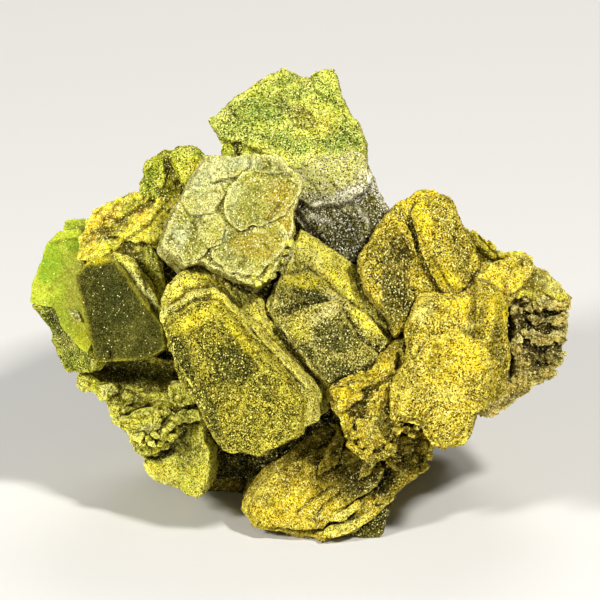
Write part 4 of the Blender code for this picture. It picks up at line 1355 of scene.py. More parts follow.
@dataclass
class FarLeftCrystal(Growth):
    """The lime green crystal at the left end, bevelled and shaded below."""

    name: str = "far_left_crystal"
    depth: float = 2.2

    def crystals(self) -> Iterator[Crystal]:
        """Its face, its bevel, the green stub behind it and a chip of clear mineral."""
        face = line(
            -30, -0.3, -29.7, 1.8, -29.1, 3.4, -28.2, 6.2, -26.9, 7.6, -24.4, 8, -23.2, 5.4, -23, 1, -22.9, -4.6,
            -23.6, -6, -26.4, -3.1, -27.3, -0.9)
        bevel = line(
            -29.8, -0.5, -27.2, -0.5, -26.2, -2.7, -23.4, -5.2, -22.6, -6.9, -23.1, -8, -25, -8.2, -26, -7.7,
            -26.7, -6.6, -28.4, -2.3, -29.4, -1.2)
        stub = line(-26.4, 6.2, -26.3, 8.9, -23.4, 9.1, -22.4, 6.2)
        chip = line(-25.6, -1, -24.6, -1.3, -24.2, -2.4, -25, -2.2)
        yield grown(
            face, self.depth, (0.35, -0.3), (4, 0.5, -12), LIME, SHARP, SMOOTH, 43,
            Scale(line(-29.6, 7.2, -27.4, 6.4, -24, 7, -23, 9.4, -28, 9.4), 0.3),
            green(-27.9, 3.8, 1.5, 2.8, 0.85, -15), green(-25.2, 6.2, 1.3, 0.9, 0.8),
            pale(-24.6, 1.2, 1.5, 4.2, 0.75), gold(-24, -3.6, 1.6, 2.4, 0.6))
        yield grown(
            bevel, 2, (1.1, 0.42), (4, 2, -9), YELLOW_GREEN, PLAIN, JAGGED, 47, Fibres(0.3, 1.2, -62),
            green(-27.6, -2.8, 1.6, 2.4, 0.9, 30), green(-25.2, -6.6, 1, 1.4, 0.7),
            pale(-26.2, -4.6, 0.9, 2.2, 0.6, 30))
        yield grown(stub, -3, (0, -0.3), (1.5, -1, -6), LIME, PLAIN, SMOOTH, 53)
        yield grown(chip, 4.1, (0.4, -0.4), (0.3, 0, -2), PALE_SCALE, THIN, CRUMB, 59, spacing=0.12)


@dataclass
class BackLump(Growth):
    """The lumpy yellow-green crystal behind, at the upper left."""

    name: str = "back_lump"

    def crystals(self) -> Iterator[Crystal]:
        """Its body and its crest."""
        body = line(
            -17.4, 10.6, -17.8, 12.4, -17.7, 13.2, -17.1, 13.8, -17.1, 15.1, -15.2, 17, -13.4, 17, -12.2, 14.6,
            -11.8, 10.6, -14.4, 9.6)
        crest = line(-14.6, 16.2, -13.9, 17.3, -12, 17.4, -10.2, 15.9, -9.6, 13, -12.6, 12.6)
        yield grown(
            body, -1.5, (0.35, -0.4), (2.5, -2.5, -12), YELLOW_GREEN, SHARP, JAGGED, 61,
            Groove(line(-15.4, 16.2, -14.6, 14.2, -15.2, 12.4), 0.5, 0.2),
            Groove(line(-17.4, 13.6, -16.2, 13, -15.4, 11.4), 0.4, 0.2), Facet((-15.8, 10.4), (-16.2, 16.6), 0.5, 0),
            # The pale patch at the top is a painted glint.
            green(-16.8, 14, 1.3, 2.2, 0.9), gold(-14, 13.4, 1.4, 2.6, 0.6, 20), pale(-14.6, 15.8, 0.9, 0.7, 0.6))
        yield grown(
            crest, -1.2, (-0.25, -0.6), (1, -2.5, -10), YELLOW_GREEN, PLAIN, JAGGED, 67,
            # The pale patch at the top is a painted glint.
            green(-11.2, 16.6, 1.6, 0.7, 0.8, -35), pale(-12.6, 16.6, 1, 0.6, 0.7), gold(-11.6, 14.4, 1.6, 1.4, 0.6))


@dataclass
class FrontBlock(Growth):
    """The big block in front: a long plate with layered sides over a thicker body."""

    name: str = "front_block"
    body_depth: float = 10.3
    middle_depth: float = 11.7
    plate_depth: float = 12.9

    def crystals(self) -> Iterator[Crystal]:
        """Its body, its middle layer and its front plate."""
        body = line(
            -15.4, -0.2, -14.7, 1.3, -12.7, 3, -10.8, 4.3, -8.1, 2.1, -4.6, -0.6, -3.8, -2.1, -1.2, -5.2, 2.2, -9.1,
            2.2, -9.9, 1.7, -11.3, 1.9, -12.6, 1.6, -13.4, 0, -14.1, -4, -15.4, -9, -14.6, -13, -8, -14.8, -3.6)
        middle = line(
            -15.3, -1.6, -12.3, 0.9, -9.3, 1.2, -6.7, -1.6, -3.6, -4.8, 0.6, -9.2, 1.3, -10.7, 0.9, -12.2, 0.9, -13.6,
            -1, -14.7, -4, -16, -9.2, -15.2, -13.1, -8.4, -14.6, -4.6)
        plate = line(
            -15.1, -2.4, -11.6, -0.2, -9, -0.1, -5.7, -4.4, -3.3, -6.8, 0, -10.6, 0.3, -11.9, 0.1, -13.3, 0, -14.8,
            -3.6, -16.4, -4.6, -17.3, -6.1, -16.8, -7.8, -16.9, -9.2, -15.8, -10.4, -13.4, -11.6, -11.4, -13.2, -8.7,
            -14.3, -5.7)
        yield grown(
            body, self.body_depth, (-0.22, -0.22), (2.6, 2.6, -15), LIGHT_OLIVE, LAYERED, SUGARY, 71,
            Facet((-6.4, -1.6), (-9.8, 5), 0.55, 0.7), Facet((-9.4, 3.4), (-15.4, -0.2), 0.5, 0.3),
            Fibres(0.22, 0.9, -47), gold(-11.4, 1.8, 4.4, 2.6, 1, 30), green(-7, 1.2, 0.6, 2.6, 0.6, 40),
            green(-14.4, -5, 1.2, 3, 0.7, 14), gold(-1.6, -5, 1.2, 6, 0.9, 40))
        yield grown(
            middle, self.middle_depth, (-0.06, -0.06), (0.8, 0.8, -4), LIGHT_OLIVE, THIN, PLATE, 73,
            Groove(line(-7.2, -0.8, -4, -4.9, 0.6, -9.8), 0.35, 0.14, 0.12),
            Groove(line(-14.6, -2.2, -12, -0.2, -9.6, 0.6), 0.3, 0.18, 0.2), Fibres(0.25, 0.8, -47),
            gold(-6, -3.2, 1.4, 7, 0.8, 42), green(-13.6, -0.6, 1.4, 0.6, 0.5, 35))
        yield grown(
            plate, self.plate_depth, (0.05, 0.02), (0.5, 0.5, -3), OLIVE, THIN, SUGARY, 79,
            Scale(line(-3.8, -13.6, -2.4, -12.4, 0.6, -12.9, 0.4, -15.4, -3, -16.9, -5, -17.8), 0.25),
            Facet((-12.9, -3), (-8.9, -16.6), 0.34, 0.25), Facet((-8.4, -1.5), (-15, -3.9), 0.3, 0.3),
            Facet((-1, -13.4), (-7.2, -1), 0.16, 0.3), green(-7.6, -7, 3.4, 2.6, 1, -30),
            green(-13, -7.4, 1.9, 6, 1, 16), green(-10.2, -12.8, 1.3, 4.4, 1, 22),
            green(-4.4, -9.6, 1.8, 1.2, 0.5, -40), gold(-11.6, -2.2, 3, 1.1, 0.7, 25),
            gold(-6.8, -3.8, 0.7, 3, 0.8, 38), green(-4.6, -13.2, 3, 1.4, 0.3), spacing=0.17)


@dataclass
class CentreCrystal(Growth):
    """The khaki crystal in the middle, stepped down in three plates with frosted ridges."""

    name: str = "centre_crystal"
    depth: float = 6.4

    def crystals(self) -> Iterator[Crystal]:
        """Its body, middle plate and lower plate."""
        body = line(
            0.1, 7.7, 0.9, 7.3, 6.2, 3.3, 7.3, 1.2, 9.2, -0.6, 10.1, -4.4, 8.8, -6, 8.1, -7.6, 4.7, -8.8, 3.1, -9.6,
            1.1, -7.8, -1.2, -5.2, -2.8, -2.4, -3.5, -0.9, -3.1, 0.4, -1.8, 3)
        middle = line(
            -2, 2.6, 0.9, 3, 4.2, 0.6, 7.4, -1.8, 9.9, -4.5, 8.8, -6, 8.1, -7.5, 3.1, -9.4, -1, -5.2, -3.2, -1.1)
        plate = line(-2.6, -2.4, 0.9, -0.7, 4.1, -0.2, 6.2, -3.9, 8.6, -6, 8, -7.4, 4.7, -8.7, 3.1, -9.4, 1.1, -7.6)
        yield grown(
            body, self.depth, (-0.1, -0.14), (0, 0, -12), LIGHT_OLIVE, LAYERED, SUGARY, 83,
            Facet((9.6, -3), (0.8, 5), 0.5, 0.5), Fibres(0.3, 1, -40), gold(2.4, 3.9, 3.2, 7.4, 1, 50),
            # The green patch at the left is painted shade under the scaly crystal.
            pale(1.2, 4.4, 1.6, 2.4, 0.4, 40), green(-2.6, 1.6, 1.6, 2.6, 1), green(9, -5.6, 1.2, 2, 0.8))
        yield grown(
            middle, 7.3, (-0.08, -0.06), (0.3, 0.3, -3), KHAKI, THIN, PLATE, 89,
            Groove(line(-3, -2, -1.2, -1.2, 0.6, -0.3), 0.4, 0.16, 0.2), Fibres(0.16, 0.9, -38),
            gold(0, 2.2, 3.8, 0.9, 0.9, -10), green(1.4, 0.4, 2.8, 1.2, 0.9, -20),
            pale(4.4, -0.2, 2.4, 0.6, 0.6, -30), green(6.2, -4.6, 1.2, 2.2, 0.8, 30), gold(7, -2, 3, 1.3, 0.95, -45))
        yield grown(
            plate, 8.3, (-0.06, 0.02), (0.3, 0.3, -3), KHAKI, THIN, PLATE, 97,
            Facet((7, -9.4), (3.6, -1.6), 0.14, 0.3), green(3.8, -4, 2.8, 2, 0.9), pale(3.3, -1.2, 1.6, 0.7, 0.9, 20),
            pale(1.8, -2.2, 1.2, 0.5, 0.6, 40), green(3.4, -8, 3.4, 1.5, 0.9, 20),
            green(0.6, -5.4, 0.7, 2.6, 0.8, 38), gold(0, -3.2, 1.2, 1.6, 0.5, 40))


@dataclass
class RightCrystal(Growth):
    """The khaki-golden crystal at the upper right, parted by a long groove."""

    name: str = "right_crystal"
    depth: float = 6.0

    def crystals(self) -> Iterator[Crystal]:
        """Its body, its right plate and the two stepped plates on its left."""
        body = line(
            6.7, 3.6, 6.7, 4.9, 8, 7, 8.9, 8.7, 10.2, 9.9, 10.7, 10.7, 12.1, 11.3, 13.3, 12.1, 14.4, 12.2, 15.3, 11.7,
            16.2, 11.6, 17, 10.9, 17.6, 9.4, 18.3, 8, 19.1, 6.7, 19.7, 5.1, 19.7, 3.9, 18.9, 2, 17.3, 0, 13, -1,
            10.6, -4, 9.2, -1.2, 7.3, 1.2)
        right = line(
            12.5, 8.2, 13.2, 5.7, 14.4, 3.2, 15.4, 1.2, 17.2, 0.2, 18.8, 2.2, 19.5, 4.4, 18.9, 6.6, 17.4, 9.4,
            16.8, 10.7, 15.3, 11.5, 13.3, 11.3, 12.4, 10.2)
        left = line(
            8.8, 6.9, 11.1, 8.7, 12.1, 8, 12.7, 5.6, 13.8, 3, 14.7, 1, 12.8, -0.6, 10.4, -3.6, 9.2, -1, 7.5, 1.2,
            6.9, 3.4)
        low = line(7, 3, 8, 4.7, 9.6, 4.7, 11.2, 3.3, 12.6, 0.4, 11.9, -1.6, 10.2, -3.4, 9.2, -0.8, 7.6, 1.2)
        yield grown(
            body, self.depth, (-0.1, -0.22), (-1, -1, -13), KHAKI_GOLD, SHARP, SUGARY, 101,
            # The green patch low at the left is painted shade in the gap.
            gold(13.6, 11.4, 3.6, 1.2, 0.9), green(8.4, 5.8, 0.9, 2.6, 0.5, -30), green(9.8, -1.8, 1.4, 2.6, 0.9))
        yield grown(
            right, 6.7, (-0.12, -0.2), (0, 0, -3), KHAKI_GOLD, THIN, PLATE, 103,
            Groove(line(13.2, 8, 13.9, 6, 15.4, 3.2, 16.8, 1), 0.3, 0.12, 0.2),
            Groove(line(14.8, 4.8, 15.9, 2.6, 17.2, 0.8), 0.25, 0.1, 0.2),
            Facet((17.6, -0.4), (16.6, 11.6), 0.35, 0.2), Fibres(0.2, 1.1, -60), gold(13.6, 9, 0.9, 3.2, 0.8, 10),
            gold(16, 2, 1.8, 1.4, 0.95), green(17.4, 6, 1.4, 3.4, 0.5, 15), pale(16.2, 8.4, 1, 1.6, 0.4))
        yield grown(
            left, 7, (-0.05, -0.12), (0, 0, -3), KHAKI_GOLD, THIN, PLATE, 107,
            Groove(line(11.4, 7, 12, 5, 13.6, 1.6), 0.3, 0.12, 0.2), Fibres(0.3, 1.1, -56),
            green(10.2, 3.4, 2.6, 3.8, 0.9, 20), gold(10.6, 7.9, 1.8, 0.9, 0.7, 20),
            gold(13.4, 1.6, 0.5, 2.4, 0.6, 30))
        yield grown(
            low, 7.6, (0.08, -0.16), (0, 0, -3), KHAKI_GOLD, THIN, PLATE, 109, Fibres(0.3, 1, -52),
            green(10, 0, 3.8, 4.8, 1), gold(8.2, 4, 1.4, 0.6, 0.5))


@dataclass
class GoldenCrystal(Growth):
    """The golden crystal at the right, its rounded shoulder and its side."""

    name: str = "golden_crystal"
    depth: float = 12.4

    def crystals(self) -> Iterator[Crystal]:
        """Its body, its front plate, its side band and its shoulder."""
        body = line(
            11.7, -3.3, 12.7, -0.9, 13.2, 0, 14.8, 0.2, 16.7, -0.2, 18.3, 0.3, 19.7, 1.6, 21.4, 0.4, 21.1, -3.4,
            21, -7.3, 21.2, -10, 20.6, -12.1, 19.2, -12.7, 18.6, -14.9, 17.9, -15.9, 16.1, -16.1, 14.7, -16,
            13.2, -14, 10, -13, 9.9, -10.7, 10.4, -8.8, 11.7, -6.8)
        plate = line(
            12.4, -6.6, 14.4, -4.2, 17.6, -3.8, 20.4, -4.6, 20.6, -9.8, 20.2, -11.8, 18.8, -12.6, 18.3, -14.8,
            16.2, -15.8, 14.8, -15.4, 13.5, -13.2, 10.6, -12.4, 10.6, -9.6)
        side = line(
            19.6, 2, 21.4, 1.4, 22.9, -0.6, 22.8, -4, 23.1, -6.3, 22.7, -10.3, 20.8, -12, 19.4, -11.6, 19.4, -3)
        shoulder = line(
            15, 0, 17.4, 0.4, 19, 2.2, 19.8, 4.1, 21.8, 4.1, 24.9, 5.3, 26, 3.4, 24.2, 1.4, 22.6, -0.8, 20, -2)
        yield grown(
            body, self.depth, (-0.05, -0.16), (0.5, 2, -16), GOLDEN, LAYERED, SUGARY, 113,
            Facet((18.8, -0.6), (12.9, -1.6), 0.45, 0.3), Facet((13.3, 0.4), (11.6, -5), 0.6, 0.35),
            pale(13.6, -1.4, 1.6, 1.6, 0.7), pale(18.7, -3.2, 0.9, 1.3, 0.7), green(11.6, -4.4, 1, 3, 0.6, -15),
            gold(18.4, -1, 3.4, 2, 0.7), spacing=0.18)
        yield grown(
            plate, 13.6, (-0.03, -0.1), (0.2, 0.3, -2.6), GOLDEN, THIN, SUGARY, 127,
            Groove(line(13.6, -13, 14.6, -11.8), 0.3, 0.2), Facet((20, -12), (19.8, -3), 0.5, 0.2),
            Facet((13.4, -4.4), (10.4, -9), 0.4, 0.3), gold(17.4, -6.6, 3.4, 2.6, 0.9),
            green(12.4, -9.4, 1.6, 2.8, 0.45), pale(16.6, -10.6, 1.4, 1, 0.3), spacing=0.17)
        yield grown(
            side, 10.6, (-0.75, 0), (-0.5, 1, -12), KHAKI_GOLD, PLAIN, SUGARY, 131, Fibres(0.2, 1, 84),
            gold(22, -1, 1.6, 2.4, 0.8), green(22.2, -7, 0.6, 3, 0.5))
        yield grown(
            shoulder, 6.6, (0.05, -0.85), (-1, -2, -12), GOLDEN, PLAIN, SUGARY, 137, Fibres(0.2, 1, 30),
            gold(21, 2, 4, 2, 0.8))
        yield from crumbs(
            line(11, -13.5, 11.7, -14.2, 12.4, -14.6, 10.7, -14.4, 12.9, -13.9, 15.6, -16), 11.8, (0, -0.2), 0.6,
            KHAKI_GOLD, 701)


@dataclass
class SmallBlock(Growth):
    """The small golden block at the lower right, with a raised plate and crumbs under it."""

    name: str = "small_block"
    depth: float = 10.0

    def crystals(self) -> Iterator[Crystal]:
        """Its body, plate, ledge and crumbs."""
        body = line(
            3.1, -9.8, 4.7, -8.8, 8.1, -7.7, 8.9, -6.3, 11.1, -5.4, 12.2, -6.8, 11.4, -9.4, 10.6, -12, 10.2, -13.8,
            10.8, -15.9, 10.7, -16.9, 9.6, -17.4, 7.4, -18, 5.9, -16.7, 4.7, -14.1, 3.6, -12.1)
        plate = line(
            6.1, -13.4, 6.9, -13, 7, -11.4, 8.2, -10.9, 8.6, -9.6, 10, -8.6, 11, -12.4, 10, -15.6, 8, -16.6,
            6.6, -15.6)
        ledge = line(
            3.4, -9.9, 5.6, -9.1, 8.3, -8.4, 7.7, -9.5, 6.9, -9.8, 6.8, -10.9, 5.7, -11.2, 5.3, -12.2, 4.2, -12.2)
        lumps_below = (
            (line(8.8, -15.4, 9.2, -18, 10.4, -18.8, 12, -19.2, 12.2, -15.4), 8, (0.1, -0.1)),
            (line(11.4, -15.2, 11.6, -19.2, 13, -19.4, 14, -19, 14.7, -16.9, 13.9, -14.6), 7.2, (-0.1, -0.2)))
        yield grown(
            body, self.depth, (0.1, -0.14), (1, 3, -12), YELLOW_BROWN, SHARP, BLOCKY, 139,
            Groove(line(6.8, -11, 8.4, -9.6, 10.2, -8.2), 0.4, 0.15, 0.2),
            Groove(line(5, -13, 6.4, -12.4, 7.2, -13.4, 9.4, -12.2), 0.4, 0.14, 0.3),
            Groove(line(10.9, -6, 10.8, -8.8, 10.2, -10.6), 0.8, 0.2, 0.2), Fibres(0.3, 0.9, 38),
            green(6.6, -14.6, 1.6, 2, 0.5), gold(9, -7.4, 3, 1.2, 0.6, 25), gold(4.8, -13.2, 0.8, 2.4, 0.6, 25),
            spacing=0.17)
        yield grown(
            plate, 11.2, (0.06, -0.08), (0.2, 0.5, -3), YELLOW_BROWN, THIN, BLOCKY, 149,
            Facet((9.6, -17), (7.6, -9.6), 0.3, 0.3), pale(8.4, -13.8, 1.4, 1.4, 0.5),
            green(7.4, -12.4, 1.2, 1.4, 0.4))
        yield grown(
            ledge, 10.5, (0.05, -0.3), (0.2, 0, -2), YELLOW_BROWN, THIN, BLOCKY, 151, gold(5, -10.4, 2.4, 1.4, 0.9),
            green(7, -10, 0.9, 0.6, 0.5))
        for index, (outline, depth, slope) in enumerate(lumps_below):
            yield grown(
                outline, depth, slope, (0, 2 + index, -6), YELLOW_BROWN, PLAIN, BROKEN, 157 + index,
                green(12, -17, 3, 2, 0.7))
        broken = line(
            5.6, -16, 6.3, -16.5, 7, -17.1, 7.8, -17.5, 6.8, -16, 7.6, -16.6, 8.6, -17.3, 9.4, -16.9, 6, -14.9,
            7.6, -15.6, 9.9, -16.3)
        yield from crumbs(broken, 11.9, (0.08, -0.12), 0.55, KHAKI_GOLD, 801)


@dataclass
class RibbedBlock(Growth):
    """The tan block at the right end, broken into level ribs, and the saddle that joins it on."""

    name: str = "ribbed_block"
    depth: float = 1.6

    def crystals(self) -> Iterator[Crystal]:
        """Its body, its ribs and the saddle."""
        body = line(
            21.6, 0.2, 24.4, 1.9, 25.9, 3.6, 27.3, 3.1, 28.9, 1.6, 29.8, 0.3, 30, -1.1, 29.6, -2.3, 29.7, -3.4,
            29.4, -4.9, 29.1, -6.7, 28.2, -8, 27.2, -8.9, 25.6, -10.1, 24.4, -11, 22.8, -12.2, 21, -13.2, 19.6, -11,
            20.4, -4)
        saddle = line(
            17.6, 7.6, 18.6, 8, 20.1, 7.4, 21.8, 5.6, 22.8, 4.8, 24.9, 5.5, 26.1, 4.5, 25.9, 3, 22, 2, 18, 3)
        ribs = (
            line(24.6, 0.3, 26.2, 0.7, 28.2, 0.3, 30, 0.2, 30.1, -1, 28.9, -1.2, 27.6, -0.7, 26.4, -1.3, 25.2, -0.9),
            line(25, -1.8, 26.3, -1.5, 27.6, -2, 29.7, -1.5, 29.7, -2.4, 28.4, -2.8, 27, -2.4, 25.8, -2.9),
            line(
                24.4, -3.3, 25.8, -3.2, 27.2, -3.8, 28.6, -3.3, 29.5, -3.9, 29.6, -4.9, 28.2, -4.6, 26.6, -5.1,
                25.2, -4.3),
            line(24.2, -5.2, 25.6, -5.8, 27.2, -5.5, 29.3, -6, 29, -7, 27.4, -6.8, 26, -7.6, 24.6, -6.6),
            line(23.6, -7.5, 25.4, -8.3, 27.4, -7.8, 28.5, -8.1, 27.2, -9.3, 25, -9.4, 23.4, -8.9),
            line(23.5, 0.4, 24.6, 0.7, 25.1, -0.6, 24.8, -2, 24, -3, 23.5, -1.4),
            line(23.4, -4.2, 24.2, -3.6, 24.7, -5, 24, -6.6, 23.2, -5.6))
        cap = line(
            23.6, 1.4, 24.6, 2.2, 25.9, 3.7, 27.3, 3.2, 28.9, 1.7, 29.9, 0.2, 28.6, -0.3, 27.4, 0.6, 26.2, -0.2,
            25, 0.7, 24, 0)
        yield grown(
            cap, 1.7, (-0.3, -0.5), (-1.5, -1, -7), YELLOW_CRUST, PLAIN, JAGGED, 241, Fibres(0.3, 1, -22),
            pale(27.6, 2, 2.6, 1, 0.7, -30), spacing=0.16)
        yield grown(
            body, self.depth, (-0.35, -0.12), (-4, 1, -12), TAN_RIBS, SHARP, CRUSTY, 163,
            Groove(line(25.2, -2.4, 27.4, -2.2, 29.4, -2), 1.1, 0.3),
            Groove(line(25, -4.3, 27, -4.4, 29.4, -4.5), 0.7, 0.25),
            Groove(line(25.8, -7, 27.4, -7, 29, -6.9), 0.9, 0.3),
            Groove(line(23.3, -1.4, 23.1, -4, 23.4, -8.4), 1.6, 0.45, 0.3), Fibres(0.3, 1.2, 4),
            gold(26.4, 1.6, 4, 1.9, 0.95, -25), green(26.6, -4, 4.6, 4.4, 0.85), green(24, -10.9, 2.6, 1.3, 0.7, 30))
        yield grown(
            saddle, 0.6, (0, -0.45), (-1, -2, -9), YELLOW_CRUST, PLAIN, CRUSTY, 167,
            Groove(line(18.8, 5.6, 20.4, 5, 20, 3.8), 1, 0.35), Groove(line(20.6, 4.6, 22.8, 4.2), 0.8, 0.3))
        for index, outline in enumerate(ribs):
            across, height = centre(outline)
            yield grown(
                outline, (2.2, 1.8)[index % 2] - 0.35 * (across - 25.5), (-0.35, -0.15), (-0.4, 0.2, -3.2), TAN_RIBS,
                PLAIN, RIBBED, 173 + index, Fibres(0.3, 0.8, 4), pale(across, height + 0.4, 2.4, 0.4, 0.6),
                spacing=0.14)


@dataclass
class BottomCrystal(Growth):
    """The yellow-brown crystal at the foot, with blades above and thin layers below."""

    name: str = "bottom_crystal"
    depth: float = 5.0

    def crystals(self) -> Iterator[Crystal]:
        """Its body, plate, blades, layers and the flat wedge beside it."""
        body = line(
            -6.2, -23, -5.8, -21.8, -4.2, -20, -1.4, -17.6, 2.9, -13.6, 7, -14.6, 11, -16.8, 12.6, -19.8, 11, -21.1,
            10.3, -22.1, 8.1, -24.2, 5.2, -25.9, 3.3, -26.2, 2.2, -26.8, 1.7, -26.1, 0.3, -26.1, -2.1, -25.6,
            -4.4, -25.3, -5.4, -24.3)
        plate = line(
            -5.8, -23, -4.4, -20.4, -1.4, -18.2, 2.8, -16.4, 6.6, -16.8, 9.6, -18.6, 8.4, -20.6, 5.4, -22.4,
            2.6, -25.4, -0.6, -25.4, -4.2, -24.9)
        blades = (
            line(1.9, -19.4, 2.6, -17, 4.3, -14.2, 5, -15.6, 4, -18.2, 2.9, -18.9),
            line(6.4, -20, 6.9, -18.2, 8, -16.4, 8.8, -17.4, 7.6, -19.2))
        layers = (
            (
                line(2.4, -26.2, 5.2, -25.8, 8.8, -23.6, 10.6, -21.8, 9, -22.9, 6.4, -24.2, 3.2, -25.1), 6.9,
                (0, -0.45)),
            (line(3.2, -24.3, 4.6, -23.5, 6.6, -22.3, 6.5, -23, 4.8, -24.4), 7.2, (0, -0.45)))
        wedge = line(3, -26.2, 9, -26.2, 10.3, -22.3, 8, -22.6, 5.4, -25)
        yield grown(
            body, self.depth, (0.02, -0.42), (0, 2, -15), YELLOW_BROWN, LAYERED, SUGARY, 181,
            # The green patches are painted shade, under the blocks above and at the lower right.
            green(7.6, -18.8, 5.4, 3.2, 1, 20), green(1.6, -16, 3.4, 1.6, 0.8, 40))
        yield grown(
            plate, 5.9, (0.06, -0.38), (0, 0.5, -3), YELLOW_BROWN, THIN, SUGARY, 191,
            Groove(line(1.6, -24.4, 2.6, -22.6, 4.4, -21.4), 0.3, 0.2),
            Groove(line(-0.4, -23.6, 1.4, -22, 3.6, -20.6), 0.3, 0.25), gold(-1.6, -22.4, 3.4, 2, 0.8, 20),
            # The green patches are painted shade, under the blocks above and at the lower right.
            pale(-3.6, -21.4, 1.6, 1.6, 0.35), green(8, -20.6, 4.6, 3.2, 1, -20), green(3.4, -17.6, 3.4, 1.6, 0.7),
            green(4.6, -19.4, 1.4, 1.6, 0.5))
        yield grown(wedge, 5.4, (0, 0), (0, 1, -8), SHADED, PLAIN, SMOOTH, 193)
        for index, outline in enumerate(blades):
            yield grown(
                outline, 5.8, (0.35, -0.3), (0, 0.5, -4), YELLOW_BROWN, PLAIN, PLATE, 197 + index,
                # The green patches are painted half shade.
                green(4.6, -16.4, 1.2, 2.2, 0.9, -30), green(7.6, -18, 1.6, 2.4, 0.8), spacing=0.15)
        for index, (outline, depth, slope) in enumerate(layers):
            yield grown(
                outline, depth, slope, (0, 0.6, -3), YELLOW_BROWN, THIN, PLATE, 211 + index,
                pale(5, -24.4, 3.6, 1.8, 0.8), green(9.6, -22.4, 2, 1.6, 0.8))


@dataclass
class LowerLeftLumps(Growth):
    """The cracked, crumbling lumps at the lower left."""

    name: str = "lower_left_lumps"

    def crystals(self) -> Iterator[Crystal]:
        """The shelf, the knob, the toe and the step between them."""
        shelf = line(
            -25, -8.6, -24.8, -9.3, -24.1, -10.1, -23, -10.2, -21.7, -11.4, -21.2, -12.6, -19.4, -13.8, -16.6, -13,
            -12.4, -11.8, -11.6, -8.6, -14, -6.6, -19, -6.2, -23.4, -6.8)
        knob = line(
            -20.9, -13.4, -19, -13.2, -17.6, -12.6, -16.2, -11.8, -14.4, -12.8, -13.4, -14.2, -13.8, -15.6,
            -14.8, -16.6, -17.2, -17.3, -18.7, -16.2, -19.2, -14.9)
        toe = line(
            -17.2, -17.2, -17.2, -18.7, -16, -19.9, -13.9, -20.7, -12.4, -21.6, -11.1, -21.8, -10.3, -20.4,
            -10, -18.9, -10, -16.7, -10.4, -16.1, -10.8, -13.6, -12.4, -12.8, -14.4, -14, -15.8, -15.8)
        step = line(-14.4, -9.4, -11.6, -9, -11.4, -11.4, -12.9, -11.8, -14.6, -11.4)
        ledge = line(-14.2, -12.2, -11.4, -12.2, -10.9, -13.2, -12.6, -13.6, -14.3, -13.3)
        yield grown(
            shelf, 1, (0.15, -0.34), (2, 1, -12), YELLOW_LUMP, SHARP, BLOCKY, 223,
            Scale(line(-22.4, -9.6, -20.2, -9.2, -19.9, -10.4, -21.8, -11), 0.6),
            Groove(line(-20.2, -9.6, -18.4, -10.4, -16.2, -9.9), 0.5, 0.2),
            # This deep groove under the left block is a recess also darkened with painted shade, and the green patch
            # along the shelf's top is painted shade.
            Groove(line(-21.8, -7.5, -19, -8, -15.6, -8.6, -13.6, -8.9), 2.4, 1),
            Groove(line(-19.8, -13.2, -18.8, -12.7, -17.6, -12.4, -16.6, -11.8), 1, 0.3),
            Groove(line(-19.2, -11.8, -17.8, -11.5), 0.5, 0.18), green(-17.6, -8, 4, 1.2, 0.6),
            pale(-21.2, -10, 1.2, 0.8, 0.7))
        yield grown(
            knob, 4.2, (0.2, -0.18), (1.5, 1, -9), YELLOW_LUMP, LAYERED, CRUSTY, 227,
            Groove(line(-17, -15.6, -15.4, -15.2, -14, -14.8), 0.4, 0.2),
            Groove(line(-18.6, -14.7, -16.4, -14.6, -14.8, -14.3), 0.35, 0.14),
            Groove(line(-15.2, -13.6, -14.6, -12.9, -13.8, -12.6), 0.9, 0.25), pale(-16.4, -14.6, 2.4, 0.9, 0.5),
            spacing=0.16)
        yield grown(
            toe, 3.8, (0.05, -0.12), (1, 1, -12), YELLOW_LUMP, LAYERED, SUGARY, 229,
            Groove(line(-17.2, -17.4, -16, -17.3, -14.5, -16.5), 1.2, 0.4),
            Groove(line(-13.2, -13.4, -10.8, -13.5), 0.8, 0.22), Fibres(0.12, 0.9, 80),
            green(-12.6, -15.4, 0.8, 2.6, 0.6, -12), green(-13.2, -19.4, 0.5, 1.6, 0.5, 10),
            gold(-15.2, -19, 1.2, 1, 0.4))
        yield grown(
            step, 3.6, (0, -0.3), (0.5, 0.5, -6), YELLOW_LUMP, PLAIN, BLOCKY, 233, green(-12.8, -10.6, 1.8, 1.4, 0.5))
        yield grown(
            ledge, 4.4, (0, -0.3), (0.2, 0.5, -6), YELLOW_LUMP, PLAIN, BLOCKY, 251,
            green(-12.4, -12.8, 1.6, 0.8, 0.6))
        broken = line(
            -17.6, -15, -16.8, -15.4, -16, -14.9, -15.2, -15.2, -16.4, -16, -15.4, -16, -14.7, -14.5, -14.2, -15.2,
            -17.4, -15.9, -14.3, -13.9, -18.1, -15.4, -13.6, -13.4)
        yield from crumbs(broken, 5.4, (0.2, -0.18), 0.5, YELLOW_LUMP, 501)


